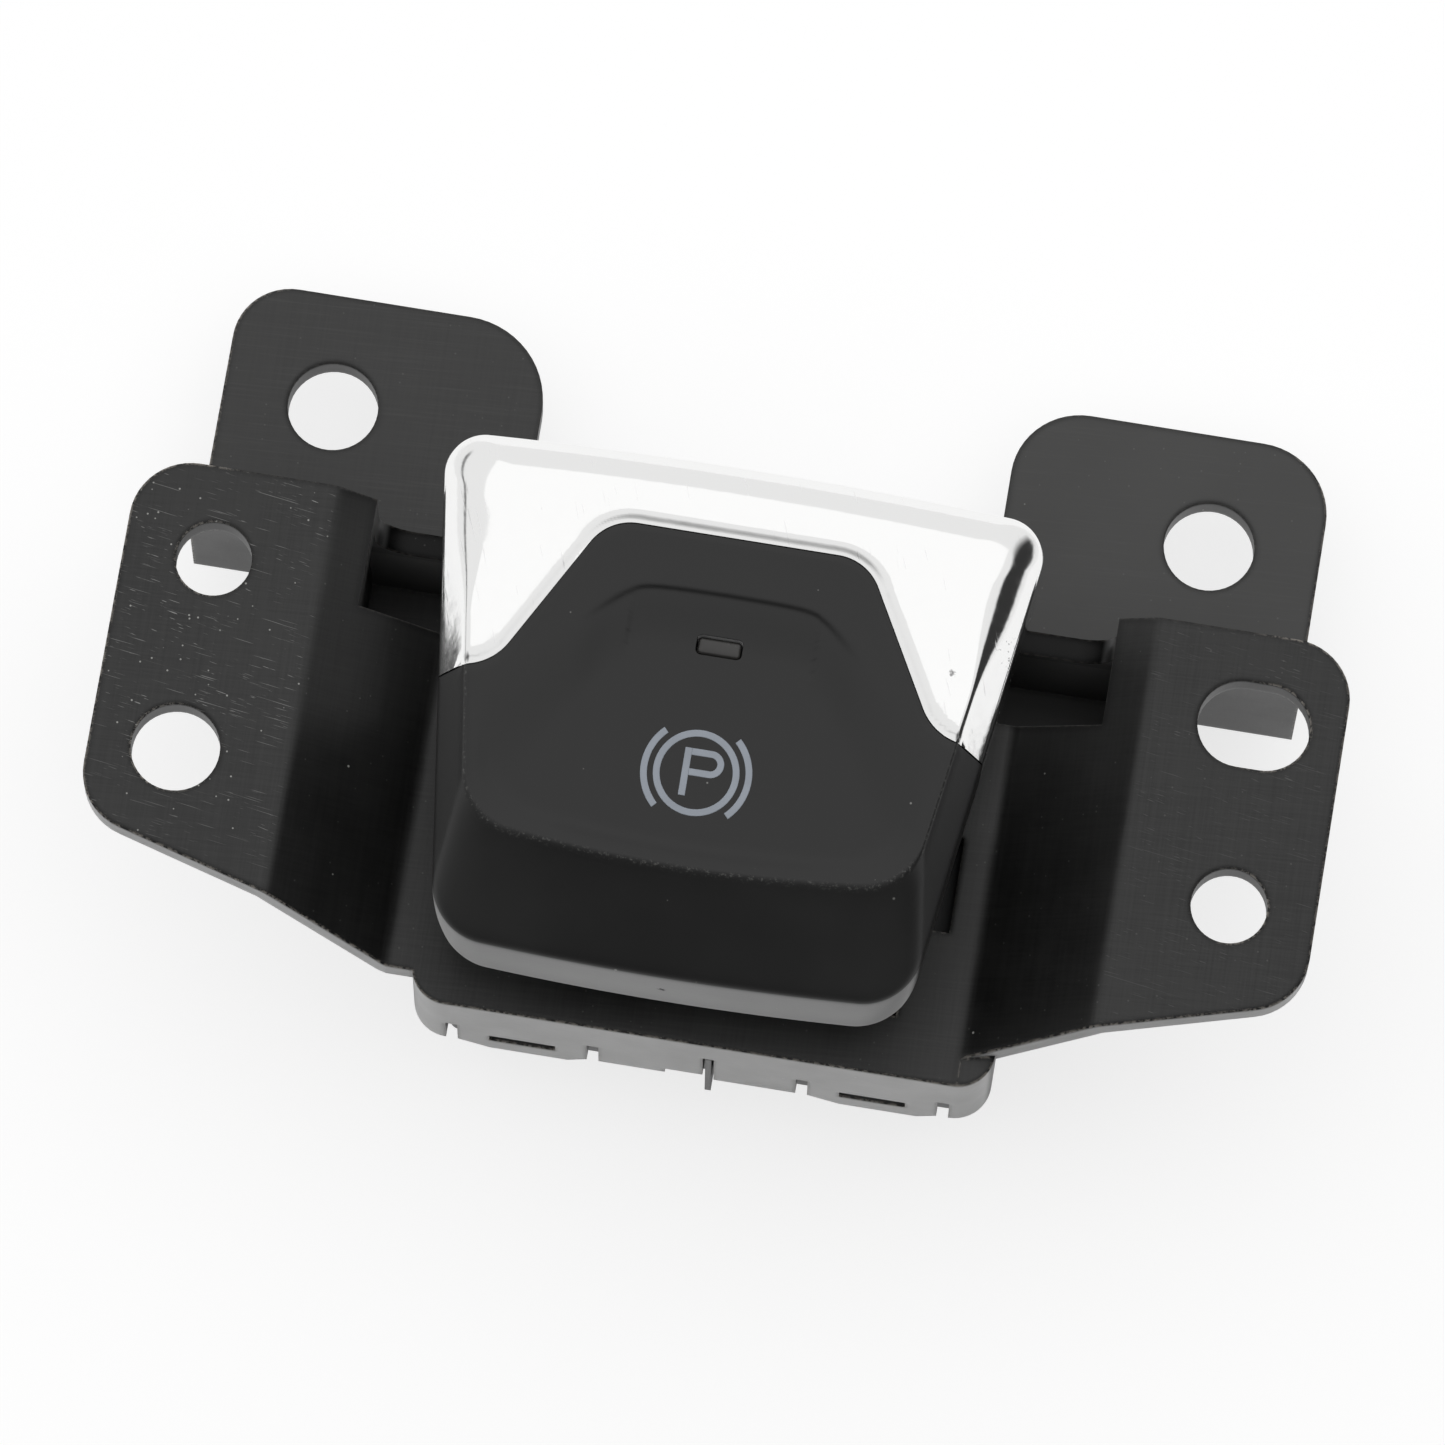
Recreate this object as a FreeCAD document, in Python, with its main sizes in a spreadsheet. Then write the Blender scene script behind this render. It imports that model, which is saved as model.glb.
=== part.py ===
"""Electric parking brake switch for a vehicle's centre console.

A moulded bracket with two screw wings and two rear tabs carries a boxed switch
module.  A rocking knob stands over its sunken deck: a plated rear trim, a soft
pad with a finger dish, an indicator window and a symbol diffuser, all on one
hollow carrier.  The carrier turns on two short pins and its two feet work two
sprung plungers, each with a detector switch on the board.

Every piece is drawn in a work frame: X = 0 is the middle of the wings, Y = 0
their rear edge with -Y to the front, and Z = 0 their top.  One bound placement
then lifts every piece into the part's own frame, whose origin is the middle of
the base.  Sizes are millimetres.
"""
import FreeCAD, Part
import math
import os

import Sketcher
from FreeCAD import Placement, Rotation, Vector

os.makedirs("parts", exist_ok=True)
doc = FreeCAD.newDocument("parking_brake_switch")
sheet = doc.addObject("Spreadsheet::Sheet", "sizes")

# Driving dimensions: alias, value in millimetres, what it measures
SIZES = [
    ("wing_half_span", 49.15, "middle to a wing's outer edge"),
    ("fold_half", 33.2, "middle to the fold between wing and slope"),
    ("deck_half", 23.2, "middle to the foot of a slope"),
    ("deck_drop", 6.85, "wings' top down to the deck"),
    ("plate", 2.4, "thickness of wings, slopes and deck"),
    ("wing_front_outer", 29.5, "rear edge to the wing's front outer corner"),
    ("wing_front_inner", 33.95, "rear edge to the front of the fold"),
    ("slope_front", 36.6, "rear edge to the front of a slope's foot"),
    ("wing_corner", 4.9, "radius of the wings' corners"),
    ("fold_round", 1.6, "radius along the folds"),
    ("window_half", 30.0, "middle to the side of the moulding window"),
    ("window_depth", 8.9, "wings' rear edge to the deck's rear edge"),
    ("box_left", 21.1, "middle to the box's left wall"),
    ("box_right", 25.8, "middle to the box's right wall"),
    ("box_front", 38.9, "wings' rear edge to the box's front face"),
    ("box_corner", 3.0, "radius of the box's front corners"),
    ("box_deep", 11.0, "height of the box's skirt under the deck top"),
    ("box_wall", 2.1, "thickness of the box's walls"),
    ("rear_wall", 2.0, "thickness of the rear wall"),
    ("rear_wall_top", 10.0, "wings' top down to the low middle of the rear wall"),
    ("rear_wall_round", 3.0, "radius in the low middle's corners"),
    ("tab_outer", 45.3, "middle to a tab's outer edge"),
    ("tab_inner", 19.3, "middle to a tab's inner edge"),
    ("tab_reach", 21.7, "wings' rear edge back to the tabs' rear edge"),
    ("tab_drop", 20.3, "wings' top down to the tabs' top"),
    ("tab_thick", 2.5, "thickness of the tabs"),
    ("left_tab_out", 4.7, "radius of the left tab's outer corner"),
    ("left_tab_in", 7.1, "radius of the left tab's inner corner"),
    ("right_tab_in", 5.7, "radius of the right tab's inner corner"),
    ("right_tab_out", 6.0, "radius of the right tab's outer corner"),
    ("tab_hole_x", 36.2, "middle to a tab hole"),
    ("tab_hole_back", 12.3, "wings' rear edge back to a tab hole"),
    ("tab_hole", 7.4, "diameter of a tab hole"),
    ("rear_hole_x", 41.9, "middle to a wing's rear hole"),
    ("rear_hole_in", 7.6, "wings' rear edge to the rear wing holes"),
    ("front_hole_x", 42.2, "middle to a wing's front hole"),
    ("left_hole_in", 23.4, "wings' rear edge to the left wing's front hole"),
    ("right_hole_in", 22.5, "wings' rear edge to the right wing's front hole"),
    ("screw_hole", 6.1, "diameter of the two screw holes"),
    ("pin_hole", 7.1, "diameter of the locating hole and width of the slot"),
    ("slot_long", 9.0, "length of the locating slot"),
    ("floor_half", 33.0, "middle to the end of the channel floor"),
    ("end_wall", 2.0, "thickness of the channel's end walls"),
    ("aperture_half", 17.5, "middle to the side of the deck's aperture"),
    ("aperture_rear", 11.6, "wings' rear edge to the aperture's rear"),
    ("aperture_front", 34.0, "wings' rear edge to the aperture's front"),
    ("notch_half", 20.6, "middle to the end of the aperture's side notches"),
    ("notch_rear", 18.7, "wings' rear edge to a side notch"),
    ("notch_long", 7.9, "length of a side notch"),
    ("arm_pitch", 14.2, "box middle to a snap arm's middle"),
    ("arm_half", 5.25, "half the width of a snap arm"),
    ("arm_tip", 1.3, "how far a snap arm reaches below the skirt"),
    ("slit", 0.95, "width of the slits beside the snap arms"),
    ("slit_tall", 4.6, "height of those slits"),
    ("eye_wide", 5.35, "width of a snap arm's window"),
    ("eye_tall", 1.4, "height of a snap arm's window"),
    ("eye_drop", 8.4, "deck top down to that window"),
    ("rib", 1.2, "thickness of the bracket's stiffening ribs"),
    ("base_drop", 29.4, "wings' top down to the base"),
    ("module_gap", 0.3, "gap between the module and the box round it"),
    ("module_set_back", 3.5, "box front face to the module's front face"),
    ("module_wall", 1.8, "wall of the module's housing"),
    ("cover_thick", 2.4, "thickness of the base cover"),
    ("cover_rear", 3.0, "wings' rear edge to the base cover's rear edge"),
    ("board_drop", 19.0, "wings' top down to the board's top"),
    ("board_thick", 1.6, "thickness of the board"),
    ("board_gap", 0.3, "gap round the board"),
    ("hinge_in", 20.0, "wings' rear edge to the hinge axis"),
    ("hinge_drop", 6.0, "wings' top down to the hinge axis"),
    ("hinge_pin", 2.5, "diameter of the hinge pins"),
    ("hinge_play", 0.03, "radial clearance on the pins"),
    ("ear_in", 14.0, "middle to an ear's inner face"),
    ("ear_thick", 2.2, "thickness of a hinge ear"),
    ("ear_half", 2.9, "half the length of a hinge ear"),
    ("boss_thick", 2.3, "thickness of a knob boss"),
    ("side_gap", 0.3, "gap between moving faces"),
    ("plunger", 5.0, "diameter of the plungers"),
    ("plunger_play", 0.06, "radial clearance of the plungers"),
    ("plunger_top", 7.9, "wings' top down to the plungers' top"),
    ("flange_drop", 13.3, "wings' top down to the plunger's flange"),
    ("flange_thick", 1.4, "thickness of the plunger's flange"),
    ("front_plunger_x", 7.0, "middle to the front plunger, to the right"),
    ("front_plunger_in", 30.0, "wings' rear edge to the front plunger"),
    ("rear_plunger_x", 7.0, "middle to the rear plunger, to the left"),
    ("rear_plunger_in", 16.0, "wings' rear edge to the rear plunger"),
    ("switch_side", 6.0, "side of a detector switch"),
    ("switch_tall", 3.0, "height of a detector switch"),
    ("switch_offset", 6.4, "plunger axis to the detector switch's axis"),
    ("stem", 2.6, "diameter of a detector's stem"),
    ("spring_wire", 0.4, "wire of the return springs"),
    ("spring_mean", 3.9, "mean diameter of the return springs"),
    ("spring_turns", 3.5, "turns of the return springs"),
    ("post", 5.2, "diameter of the posts under the springs"),
    ("socket_wide", 17.0, "inside width of the connector socket"),
    ("socket_deep", 7.0, "inside depth of the connector socket"),
    ("socket_tall", 5.6, "height of the connector socket's cavity"),
    ("socket_wall", 1.2, "wall of the connector socket"),
    ("socket_in", 23.0, "wings' rear edge to the socket's middle"),
    ("terminal", 0.64, "side of a square terminal pin"),
    ("terminal_pitch", 2.54, "pitch of the terminal pins"),
    ("screw", 2.2, "diameter of the cover screws"),
    ("screw_head", 4.2, "diameter of the cover screws' heads"),
    ("screw_inset", 2.3, "housing's inner corner to a cover screw"),
    ("sink", 0.5, "how far one form runs into the form it joins"),
    ("end_step", 0.5, "moulding window's side to the channel's end wall"),
    ("rib_rear_in", 16.0, "wings' rear edge to the rear rib under a slope"),
    ("rib_front_in", 29.0, "wings' rear edge to the front rib under a slope"),
    ("arm_slant_right", 1.6, "slant at a snap arm's right corner"),
    ("arm_slant_left", 2.6, "slant at a snap arm's left corner"),
    ("fin_off", 0.9, "box middle to the locating fin, to the right"),
    ("fin_slit", 0.9, "width of the slit for the locating fin"),
    ("fin_slit_top", 4.4, "deck top down to that slit"),
    ("fin_thick", 0.5, "thickness of the locating fin"),
    ("fin_tall", 10.4, "height of the locating fin"),
    ("fin_set_back", 0.05, "box front face to the locating fin's face"),
    ("clip_wide", 3.05, "width of the clip cut beside the fin's slit"),
    ("clip_tall", 1.1, "height of that clip cut"),
    ("snap_gap", 0.15, "gap over, under and before the snap features"),
    ("hook_side", 0.2, "gap beside a snap hook in its window"),
    ("hook_front_back", 0.9, "box front face to a front hook's face"),
    ("hook_rear_in", 0.6, "box rear face to a rear hook's face"),
    ("guide_rib_far", 18.6, "box middle to the outer guide ribs"),
    ("guide_rib_near", 8.2, "box middle to the inner guide ribs"),
    ("guide_rib", 1.0, "thickness of a guide rib"),
    ("guide_rib_tall", 7.0, "height of a guide rib"),
    ("guide_rib_drop", 1.0, "module top down to the guide ribs"),
    ("housing_corner", 1.0, "radius of the module's upright corners"),
    ("column_over", 0.2, "extra width of a screw column to the left"),
    ("pilot_play", 0.1, "pilot bore's diameter over the screw's"),
    ("pilot_deep", 6.0, "depth of a screw's pilot bore"),
    ("sleeve_wall", 1.2, "wall of a plunger's sleeve"),
    ("sleeve_long", 0.6, "length of a sleeve under the ceiling"),
    ("light_wide", 6.8, "width of the symbol's light window"),
    ("light_long", 4.8, "length of the symbol's light window"),
    ("lip_gap", 0.15, "gap round the cover's locating lip"),
    ("lip_tall", 1.5, "height of the cover's locating lip"),
    ("lip_wall", 1.2, "wall of the cover's locating lip"),
    ("key_wide", 3.0, "width of the socket's keyway"),
    ("key_deep", 0.7, "depth of the socket's keyway"),
    ("terminal_fit", 0.03, "gap round a terminal pin in the socket's roof"),
    ("terminal_gap", 0.05, "gap round a terminal pin in the board"),
    ("terminal_in", 1.2, "socket's mouth up to the pins' tips"),
    ("terminal_rise", 0.8, "pins' ends over the board"),
    ("nipple_play", 0.5, "spring's inside over a nipple's diameter"),
    ("nipple_tall", 1.0, "height of a post's nipple"),
    ("post_rise", 0.3, "spring posts' shoulder over the board"),
    ("rest", 4.4, "diameter of the board rests"),
    ("shank_play", 0.3, "cover's screw hole over the screw's diameter"),
    ("head_play", 0.4, "counterbore over the screw head's diameter"),
    ("head_deep", 1.7, "depth of a counterbore"),
    ("head_up", 0.25, "base up to a screw's head"),
    ("head_tall", 1.4, "height of a screw's head"),
    ("shank_rise", 5.2, "board up to a screw's end"),
    ("recess_long", 2.4, "length of a screw's slot"),
    ("recess_wide", 0.6, "width of a screw's slot"),
    ("recess_deep", 0.7, "depth of a screw's slot"),
    ("board_screw_play", 0.4, "board's screw hole over the screw's diameter"),
    ("board_post_play", 0.6, "board's post hole over the post's diameter"),
    ("well_floor", 0.6, "floor under a detector's well"),
    ("stem_play", 0.06, "radial clearance of a detector's stem"),
    ("stem_rest", 1.2, "well's floor up to the stem at rest"),
    ("flange_over", 0.4, "plunger's flange past its detector's stem"),
    ("plunger_nipple", 0.8, "height of a plunger's spring nipple"),
    ("lamp_body_wide", 2.8, "width of the indicator lamp"),
    ("lamp_body_long", 1.6, "length of the indicator lamp"),
    ("lamp_body_tall", 1.0, "height of the indicator lamp"),
    ("glow_off", 1.8, "middle to a symbol lamp"),
    ("glow_wide", 2.0, "width of a symbol lamp"),
    ("glow_long", 1.4, "length of a symbol lamp"),
    ("glow_tall", 0.9, "height of a symbol lamp"),
    ("chip_off", 12.0, "middle to the control chip, to the right"),
    ("chip_in", 18.4, "wings' rear edge to the control chip"),
    ("chip_wide", 5.0, "width of the control chip"),
    ("chip_long", 4.4, "length of the control chip"),
    ("chip_tall", 1.2, "height of the control chip"),
    ("resistor_off", 13.0, "middle to the first resistor, to the left"),
    ("resistor_pitch", 2.0, "pitch of the resistors"),
    ("resistor_in", 27.2, "wings' rear edge to the resistors"),
    ("resistor_wide", 1.0, "width of a resistor"),
    ("resistor_long", 1.8, "length of a resistor"),
    ("resistor_tall", 0.6, "height of a resistor"),
    ("guide_in", 16.4, "wings' rear edge to the light guide"),
    ("guide_wide", 3.4, "width of the light guide's seat"),
    ("guide_long", 2.2, "length of the light guide's seat"),
    ("guide_play", 0.05, "gap round the light guide"),
    ("guide_lift", 1.3, "board up to the light guide"),
    ("guide_proud", 0.4, "light guide's end over the module"),
    ("collar_thick", 0.8, "thickness of the light guide's collar"),
    ("collar_side", 0.7, "collar past the guide's seat at each side"),
    ("collar_end", 0.4, "collar past the guide's seat at each end"),
    ("face_gap", 0.02, "gap between the collar and the ceiling"),
    ("knob_rear", 2.35, "knob's rear corners behind the wings' rear edge"),
    ("knob_front", 36.4, "wings' rear edge to the knob's front corners"),
    ("knob_half_rear", 24.3, "half the knob's width at the rear"),
    ("knob_half_front", 18.95, "half the knob's width at the front"),
    ("knob_bow", 0.75, "outward bow of the knob's front and rear edges"),
    ("knob_corner_rear", 3.2, "radius of the knob's rear corners"),
    ("knob_corner_front", 4.8, "radius of the knob's front corners"),
    ("knob_bottom", 1.8, "wings' top down to the knob's bottom edge"),
    ("knob_top", 14.8, "pad height over the wings at their rear edge"),
    ("knob_tilt", 0.11, "fall of the pad for each millimetre forward"),
    ("edge_top", 12.2, "knob's widest line over the wings at the rear"),
    ("edge_tilt", 0.158, "fall of the widest line for each millimetre"),
    ("bevel_side", 2.25, "width of the knob's side bevels"),
    ("bevel_rear", 1.9, "width of the knob's rear bevel"),
    ("bevel_front", 8.4, "length of the knob's front slope"),
    ("crease_narrow", 1.05, "narrowing of the crease's front left out"),
    ("crease_bow", 1.4, "bow of the crease over the front slope"),
    ("crease_corner", 5.0, "radius of the crease's front corners"),
    ("knob_shift", 0.4, "how far left of the middle the knob's form stands"),
    ("skin", 1.7, "wall of the pad and the plated trim"),
    ("seat_gap", 0.05, "gap between the skins and the carrier"),
    ("carrier_wall", 1.6, "wall of the knob's carrier"),
    ("seam", 0.12, "gap between the trim and the pad"),
    ("vee_rear", 3.2, "wings' rear edge to the pad's rear edge"),
    ("vee_rear_half", 10.3, "half the width of the pad's rear edge"),
    ("vee_knee_half", 17.4, "half the pad's width at the knees"),
    ("vee_knee", 15.8, "wings' rear edge to the pad's knees"),
    ("vee_tip", 16.85, "wings' rear edge to the trim's tips"),
    ("dish_rear", 7.7, "wings' rear edge to the finger dish"),
    ("dish_rear_half", 7.4, "half the dish's width at its rear"),
    ("dish_deep", 0.6, "depth of the finger dish"),
    ("dish_rim", 1.3, "width of the dish's sloping rim"),
    ("lamp_in", 12.05, "wings' rear edge to the indicator window"),
    ("lamp_left", 0.5, "how far left of the middle the indicator window is"),
    ("lamp_wide", 3.4, "width of the indicator window"),
    ("lamp_long", 1.5, "length of the indicator window"),
    ("symbol_in", 21.5, "wings' rear edge to the symbol's middle"),
    ("symbol_size", 4.4, "radius of the symbol's outer arcs"),
    ("foot_in", 0.4, "knob's foot inside its widest line, rear and sides"),
    ("foot_taper", 0.5, "knob's foot inside its widest line at the front"),
    ("crease_less", 0.8, "crease's rear radius under the outline's"),
    ("least_round", 0.8, "least radius inside the knob's skins"),
    ("vee_tip_half", 21.7, "middle to the trim's tips"),
    ("vee_rear_round", 4.0, "radius of the pad's rear corners"),
    ("vee_knee_round", 4.5, "radius of the pad's knees"),
    ("dish_side_in", 3.4, "crease's rear corner to the dish's side"),
    ("dish_side_front", 0.3, "crease's front corner to the dish's side"),
    ("dish_past", 0.5, "dish past the crease's front corners"),
    ("dish_cut", 3.4, "length of the dish's cut front corners"),
    ("dish_cut_wide", 4.0, "width of the dish's cut front corners"),
    ("foot_round", 2.0, "radius of the carrier's feet"),
    ("foot_web", 1.4, "thickness of the webs to the feet"),
    ("spine", 1.6, "thickness of the carrier's spine"),
    ("web_low", 1.0, "wings' top up to the webs' lower edge"),
    ("spine_low", 4.0, "wings' top up to the spine's lower edge"),
    ("shaft_over", 0.8, "symbol's shaft past the symbol"),
    ("diffuser_gap", 0.1, "gap round the diffuser in its shaft"),
    ("diffuser_thick", 1.4, "thickness of the diffuser"),
    ("diffuser_down", 1.5, "pad's underside down to the diffuser's"),
    ("lens_gap", 0.05, "gap round the lens in the pad"),
    ("lens_shaft_gap", 0.1, "carrier's shaft past the pad's window"),
    ("lens_proud", 0.1, "lens over the dish's floor"),
    ("lens_down", 0.9, "carrier's roof down to the lens's flange"),
    ("lens_flange", 1.0, "thickness of the lens's flange"),
    ("lens_flange_side", 1.0, "flange past the window at each side"),
    ("lens_flange_end", 0.9, "flange past the window at each end"),
]


class Dim:
    """A length that knows its value and the sheet expression behind it."""

    def __init__(self, value, text):
        self.value = float(value)
        self.text = text

    def _join(self, sign, other, value):
        return Dim(value, "(%s %s %s)" % (self.text, sign, dim(other).text))

    def __add__(self, other):
        return self._join("+", other, self.value + dim(other).value)

    def __sub__(self, other):
        return self._join("-", other, self.value - dim(other).value)

    def __mul__(self, other):
        return self._join("*", other, self.value * dim(other).value)

    def __truediv__(self, other):
        return self._join("/", other, self.value / dim(other).value)

    def __radd__(self, other):
        return dim(other) + self

    def __rsub__(self, other):
        return dim(other) - self

    def __rmul__(self, other):
        return dim(other) * self

    def __neg__(self):
        return Dim(-self.value, "(-1 * %s)" % self.text)

    def __float__(self):
        return self.value


def dim(size):
    """Return a length as a Dim, whether it is one already or a plain number."""
    if isinstance(size, Dim):
        return size
    return Dim(size, repr(float(size)))


def root(size):
    """Square root of a Dim."""
    return Dim(math.sqrt(size.value), "sqrt(%s)" % size.text)


def limited(radius, room):
    """A radius, kept inside the room that its walls leave."""
    radius, room = dim(radius), dim(room)
    return Dim(min(radius.value, room.value), "min(%s; %s)" % (radius.text, room.text))


class Sizes:
    """The sheet's cells as attributes, each one a Dim."""


size = Sizes()
for row, (alias, value, note) in enumerate(SIZES, start=1):
    sheet.set("A%d" % row, note)
    sheet.set("B%d" % row, str(value))
    sheet.setAlias("B%d" % row, alias)
    setattr(size, alias, Dim(value, "sizes.%s" % alias))
doc.recompute()

# Places that several pieces share, worked out from the driving dimensions
box_middle = (size.box_right - size.box_left) / 2
deck_top = -size.deck_drop
skirt_bottom = deck_top - size.box_deep
tab_top = -size.tab_drop
tab_bottom = tab_top - size.tab_thick
slope_run = size.fold_half - size.deck_half
slope_long = root(slope_run * slope_run + size.deck_drop * size.deck_drop)
fold_shift = size.plate * size.deck_drop / (slope_long + slope_run)
module_left = -size.box_left + size.box_wall + size.module_gap
module_right = size.box_right - size.box_wall - size.module_gap
module_rear = -(size.window_depth + size.box_wall + size.module_gap)
module_front = -(size.box_front - size.module_set_back)
module_top = deck_top - size.plate - size.module_gap
ceiling = module_top - size.module_wall
cover_top = -size.base_drop + size.cover_thick
room_left = module_left + size.module_wall
room_right = module_right - size.module_wall
room_rear = module_rear - size.module_wall
room_front = module_front + size.module_wall
board_top = -size.board_drop
board_bottom = board_top - size.board_thick
hinge_y = -size.hinge_in
hinge_z = -size.hinge_drop
flange_top = -size.flange_drop
flange_bottom = flange_top - size.flange_thick
post_top = board_top + size.post_rise
guide_y = -size.guide_in
guide_half_x = size.guide_wide / 2
guide_half_y = size.guide_long / 2
nipple_across = size.spring_mean - size.spring_wire - size.nipple_play


def lift(piece):
    """Bind a piece's placement to the part's own frame, base middle at the origin."""
    piece.setExpression(".Placement.Base.y", "(sizes.box_front - sizes.tab_reach) / 2")
    piece.setExpression(".Placement.Base.z", "sizes.base_drop")


def new_body(label):
    """Start a body for one moulded or cut piece."""
    body = doc.addObject("PartDesign::Body", label)
    body.Label = label
    lift(body)
    return body


def new_sketch(body, plane, offset):
    """Attach an empty sketch to one of the body's own planes, lifted along its normal."""
    sketch = body.newObject("Sketcher::SketchObject", "%s_sketch" % body.Name)
    origin = [item for item in body.Origin.OriginFeatures if item.Role == plane][0]
    sketch.AttachmentSupport = (origin, [""])
    sketch.MapMode = "FlatFace"
    sketch.setExpression(".AttachmentOffset.Base.z", dim(offset).text)
    return sketch


def pin_point(sketch, item, end, point):
    """Fix one point of a sketch to the sheet by its two coordinates."""
    for kind, length in zip(("DistanceX", "DistanceY"), point):
        length = dim(length)
        index = sketch.addConstraint(Sketcher.Constraint(kind, -1, 1, item, end, length.value))
        sketch.setExpression("Constraints[%d]" % index, length.text)


def draw(body, plane, offset, outlines=(), circles=()):
    """Sketch closed outlines of straight lines, and circles given as (x, y, diameter)."""
    sketch = new_sketch(body, plane, offset)
    for outline in outlines:
        first = sketch.GeometryCount
        count = len(outline)
        spots = [Vector(float(dim(a)), float(dim(b)), 0) for a, b in outline]
        for i in range(count):
            sketch.addGeometry(Part.LineSegment(spots[i], spots[(i + 1) % count]), False)
        for i in range(count):
            sketch.addConstraint(Sketcher.Constraint("Coincident", first + i, 2, first + (i + 1) % count, 1))
        for i, point in enumerate(outline):
            pin_point(sketch, first + i, 1, point)
    for a, b, across in circles:
        a, b, across = dim(a), dim(b), dim(across)
        centre = Vector(a.value, b.value, 0)
        item = sketch.addGeometry(Part.Circle(centre, Vector(0, 0, 1), across.value / 2), False)
        index = sketch.addConstraint(Sketcher.Constraint("Diameter", item, across.value))
        sketch.setExpression("Constraints[%d]" % index, across.text)
        pin_point(sketch, item, 3, (a, b))
    doc.recompute()
    return sketch


def box(x0, x1, y0, y1):
    """Corner points of a rectangle."""
    return [(x0, y0), (x1, y0), (x1, y1), (x0, y1)]


def mirrored(outline):
    """The same outline on the other side of the middle."""
    return [(-dim(a), b) for a, b in outline]


def pad(body, sketch, length, reverse=False):
    """Raise a sketch along its plane's normal, or against it."""
    feature = body.newObject("PartDesign::Pad", "%s_pad" % body.Name)
    feature.Profile = sketch
    feature.Reversed = reverse
    feature.setExpression("Length", dim(length).text)
    doc.recompute()
    return feature


def pocket(body, sketch, length=None, reverse=False):
    """Cut a sketch against its plane's normal, or along it, by a depth or right through."""
    feature = body.newObject("PartDesign::Pocket", "%s_pocket" % body.Name)
    feature.Profile = sketch
    feature.Reversed = reverse
    if length is None:
        feature.Type = "ThroughAll"
        feature.Midplane = True
    else:
        feature.setExpression("Length", dim(length).text)
    doc.recompute()
    return feature


def edges_at(shape, test):
    """Names of the straight edges whose two ends pass a test."""
    names = []
    for number, edge in enumerate(shape.Edges, start=1):
        if len(edge.Vertexes) == 2 and test(edge.Vertexes[0].Point, edge.Vertexes[1].Point):
            names.append("Edge%d" % number)
    return names


def near(a, b, slack=0.02):
    """Whether two lengths are the same to within the slack."""
    return abs(float(a) - float(b)) < slack


def round_edges(body, feature, radius, test):
    """Round the straight edges of a feature that pass a test."""
    names = edges_at(feature.Shape, test)
    if not names:
        raise RuntimeError("no edge to round on %s" % body.Label)
    fillet = body.newObject("PartDesign::Fillet", "%s_round" % body.Name)
    fillet.Base = (feature, names)
    fillet.setExpression("Radius", dim(radius).text)
    doc.recompute()
    return fillet


def upright_at(spots):
    """Test for edges along Z that stand at one of the given (x, y) spots."""
    def test(a, b):
        if not (near(a.x, b.x) and near(a.y, b.y)):
            return False
        return any(near(a.x, x) and near(a.y, y) for x, y in spots)
    return test


def along_y_at(spots):
    """Test for edges along Y that pass through one of the given (x, z) spots."""
    def test(a, b):
        if not (near(a.x, b.x) and near(a.z, b.z)):
            return False
        return any(near(a.x, x) and near(a.z, z) for x, z in spots)
    return test


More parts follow.
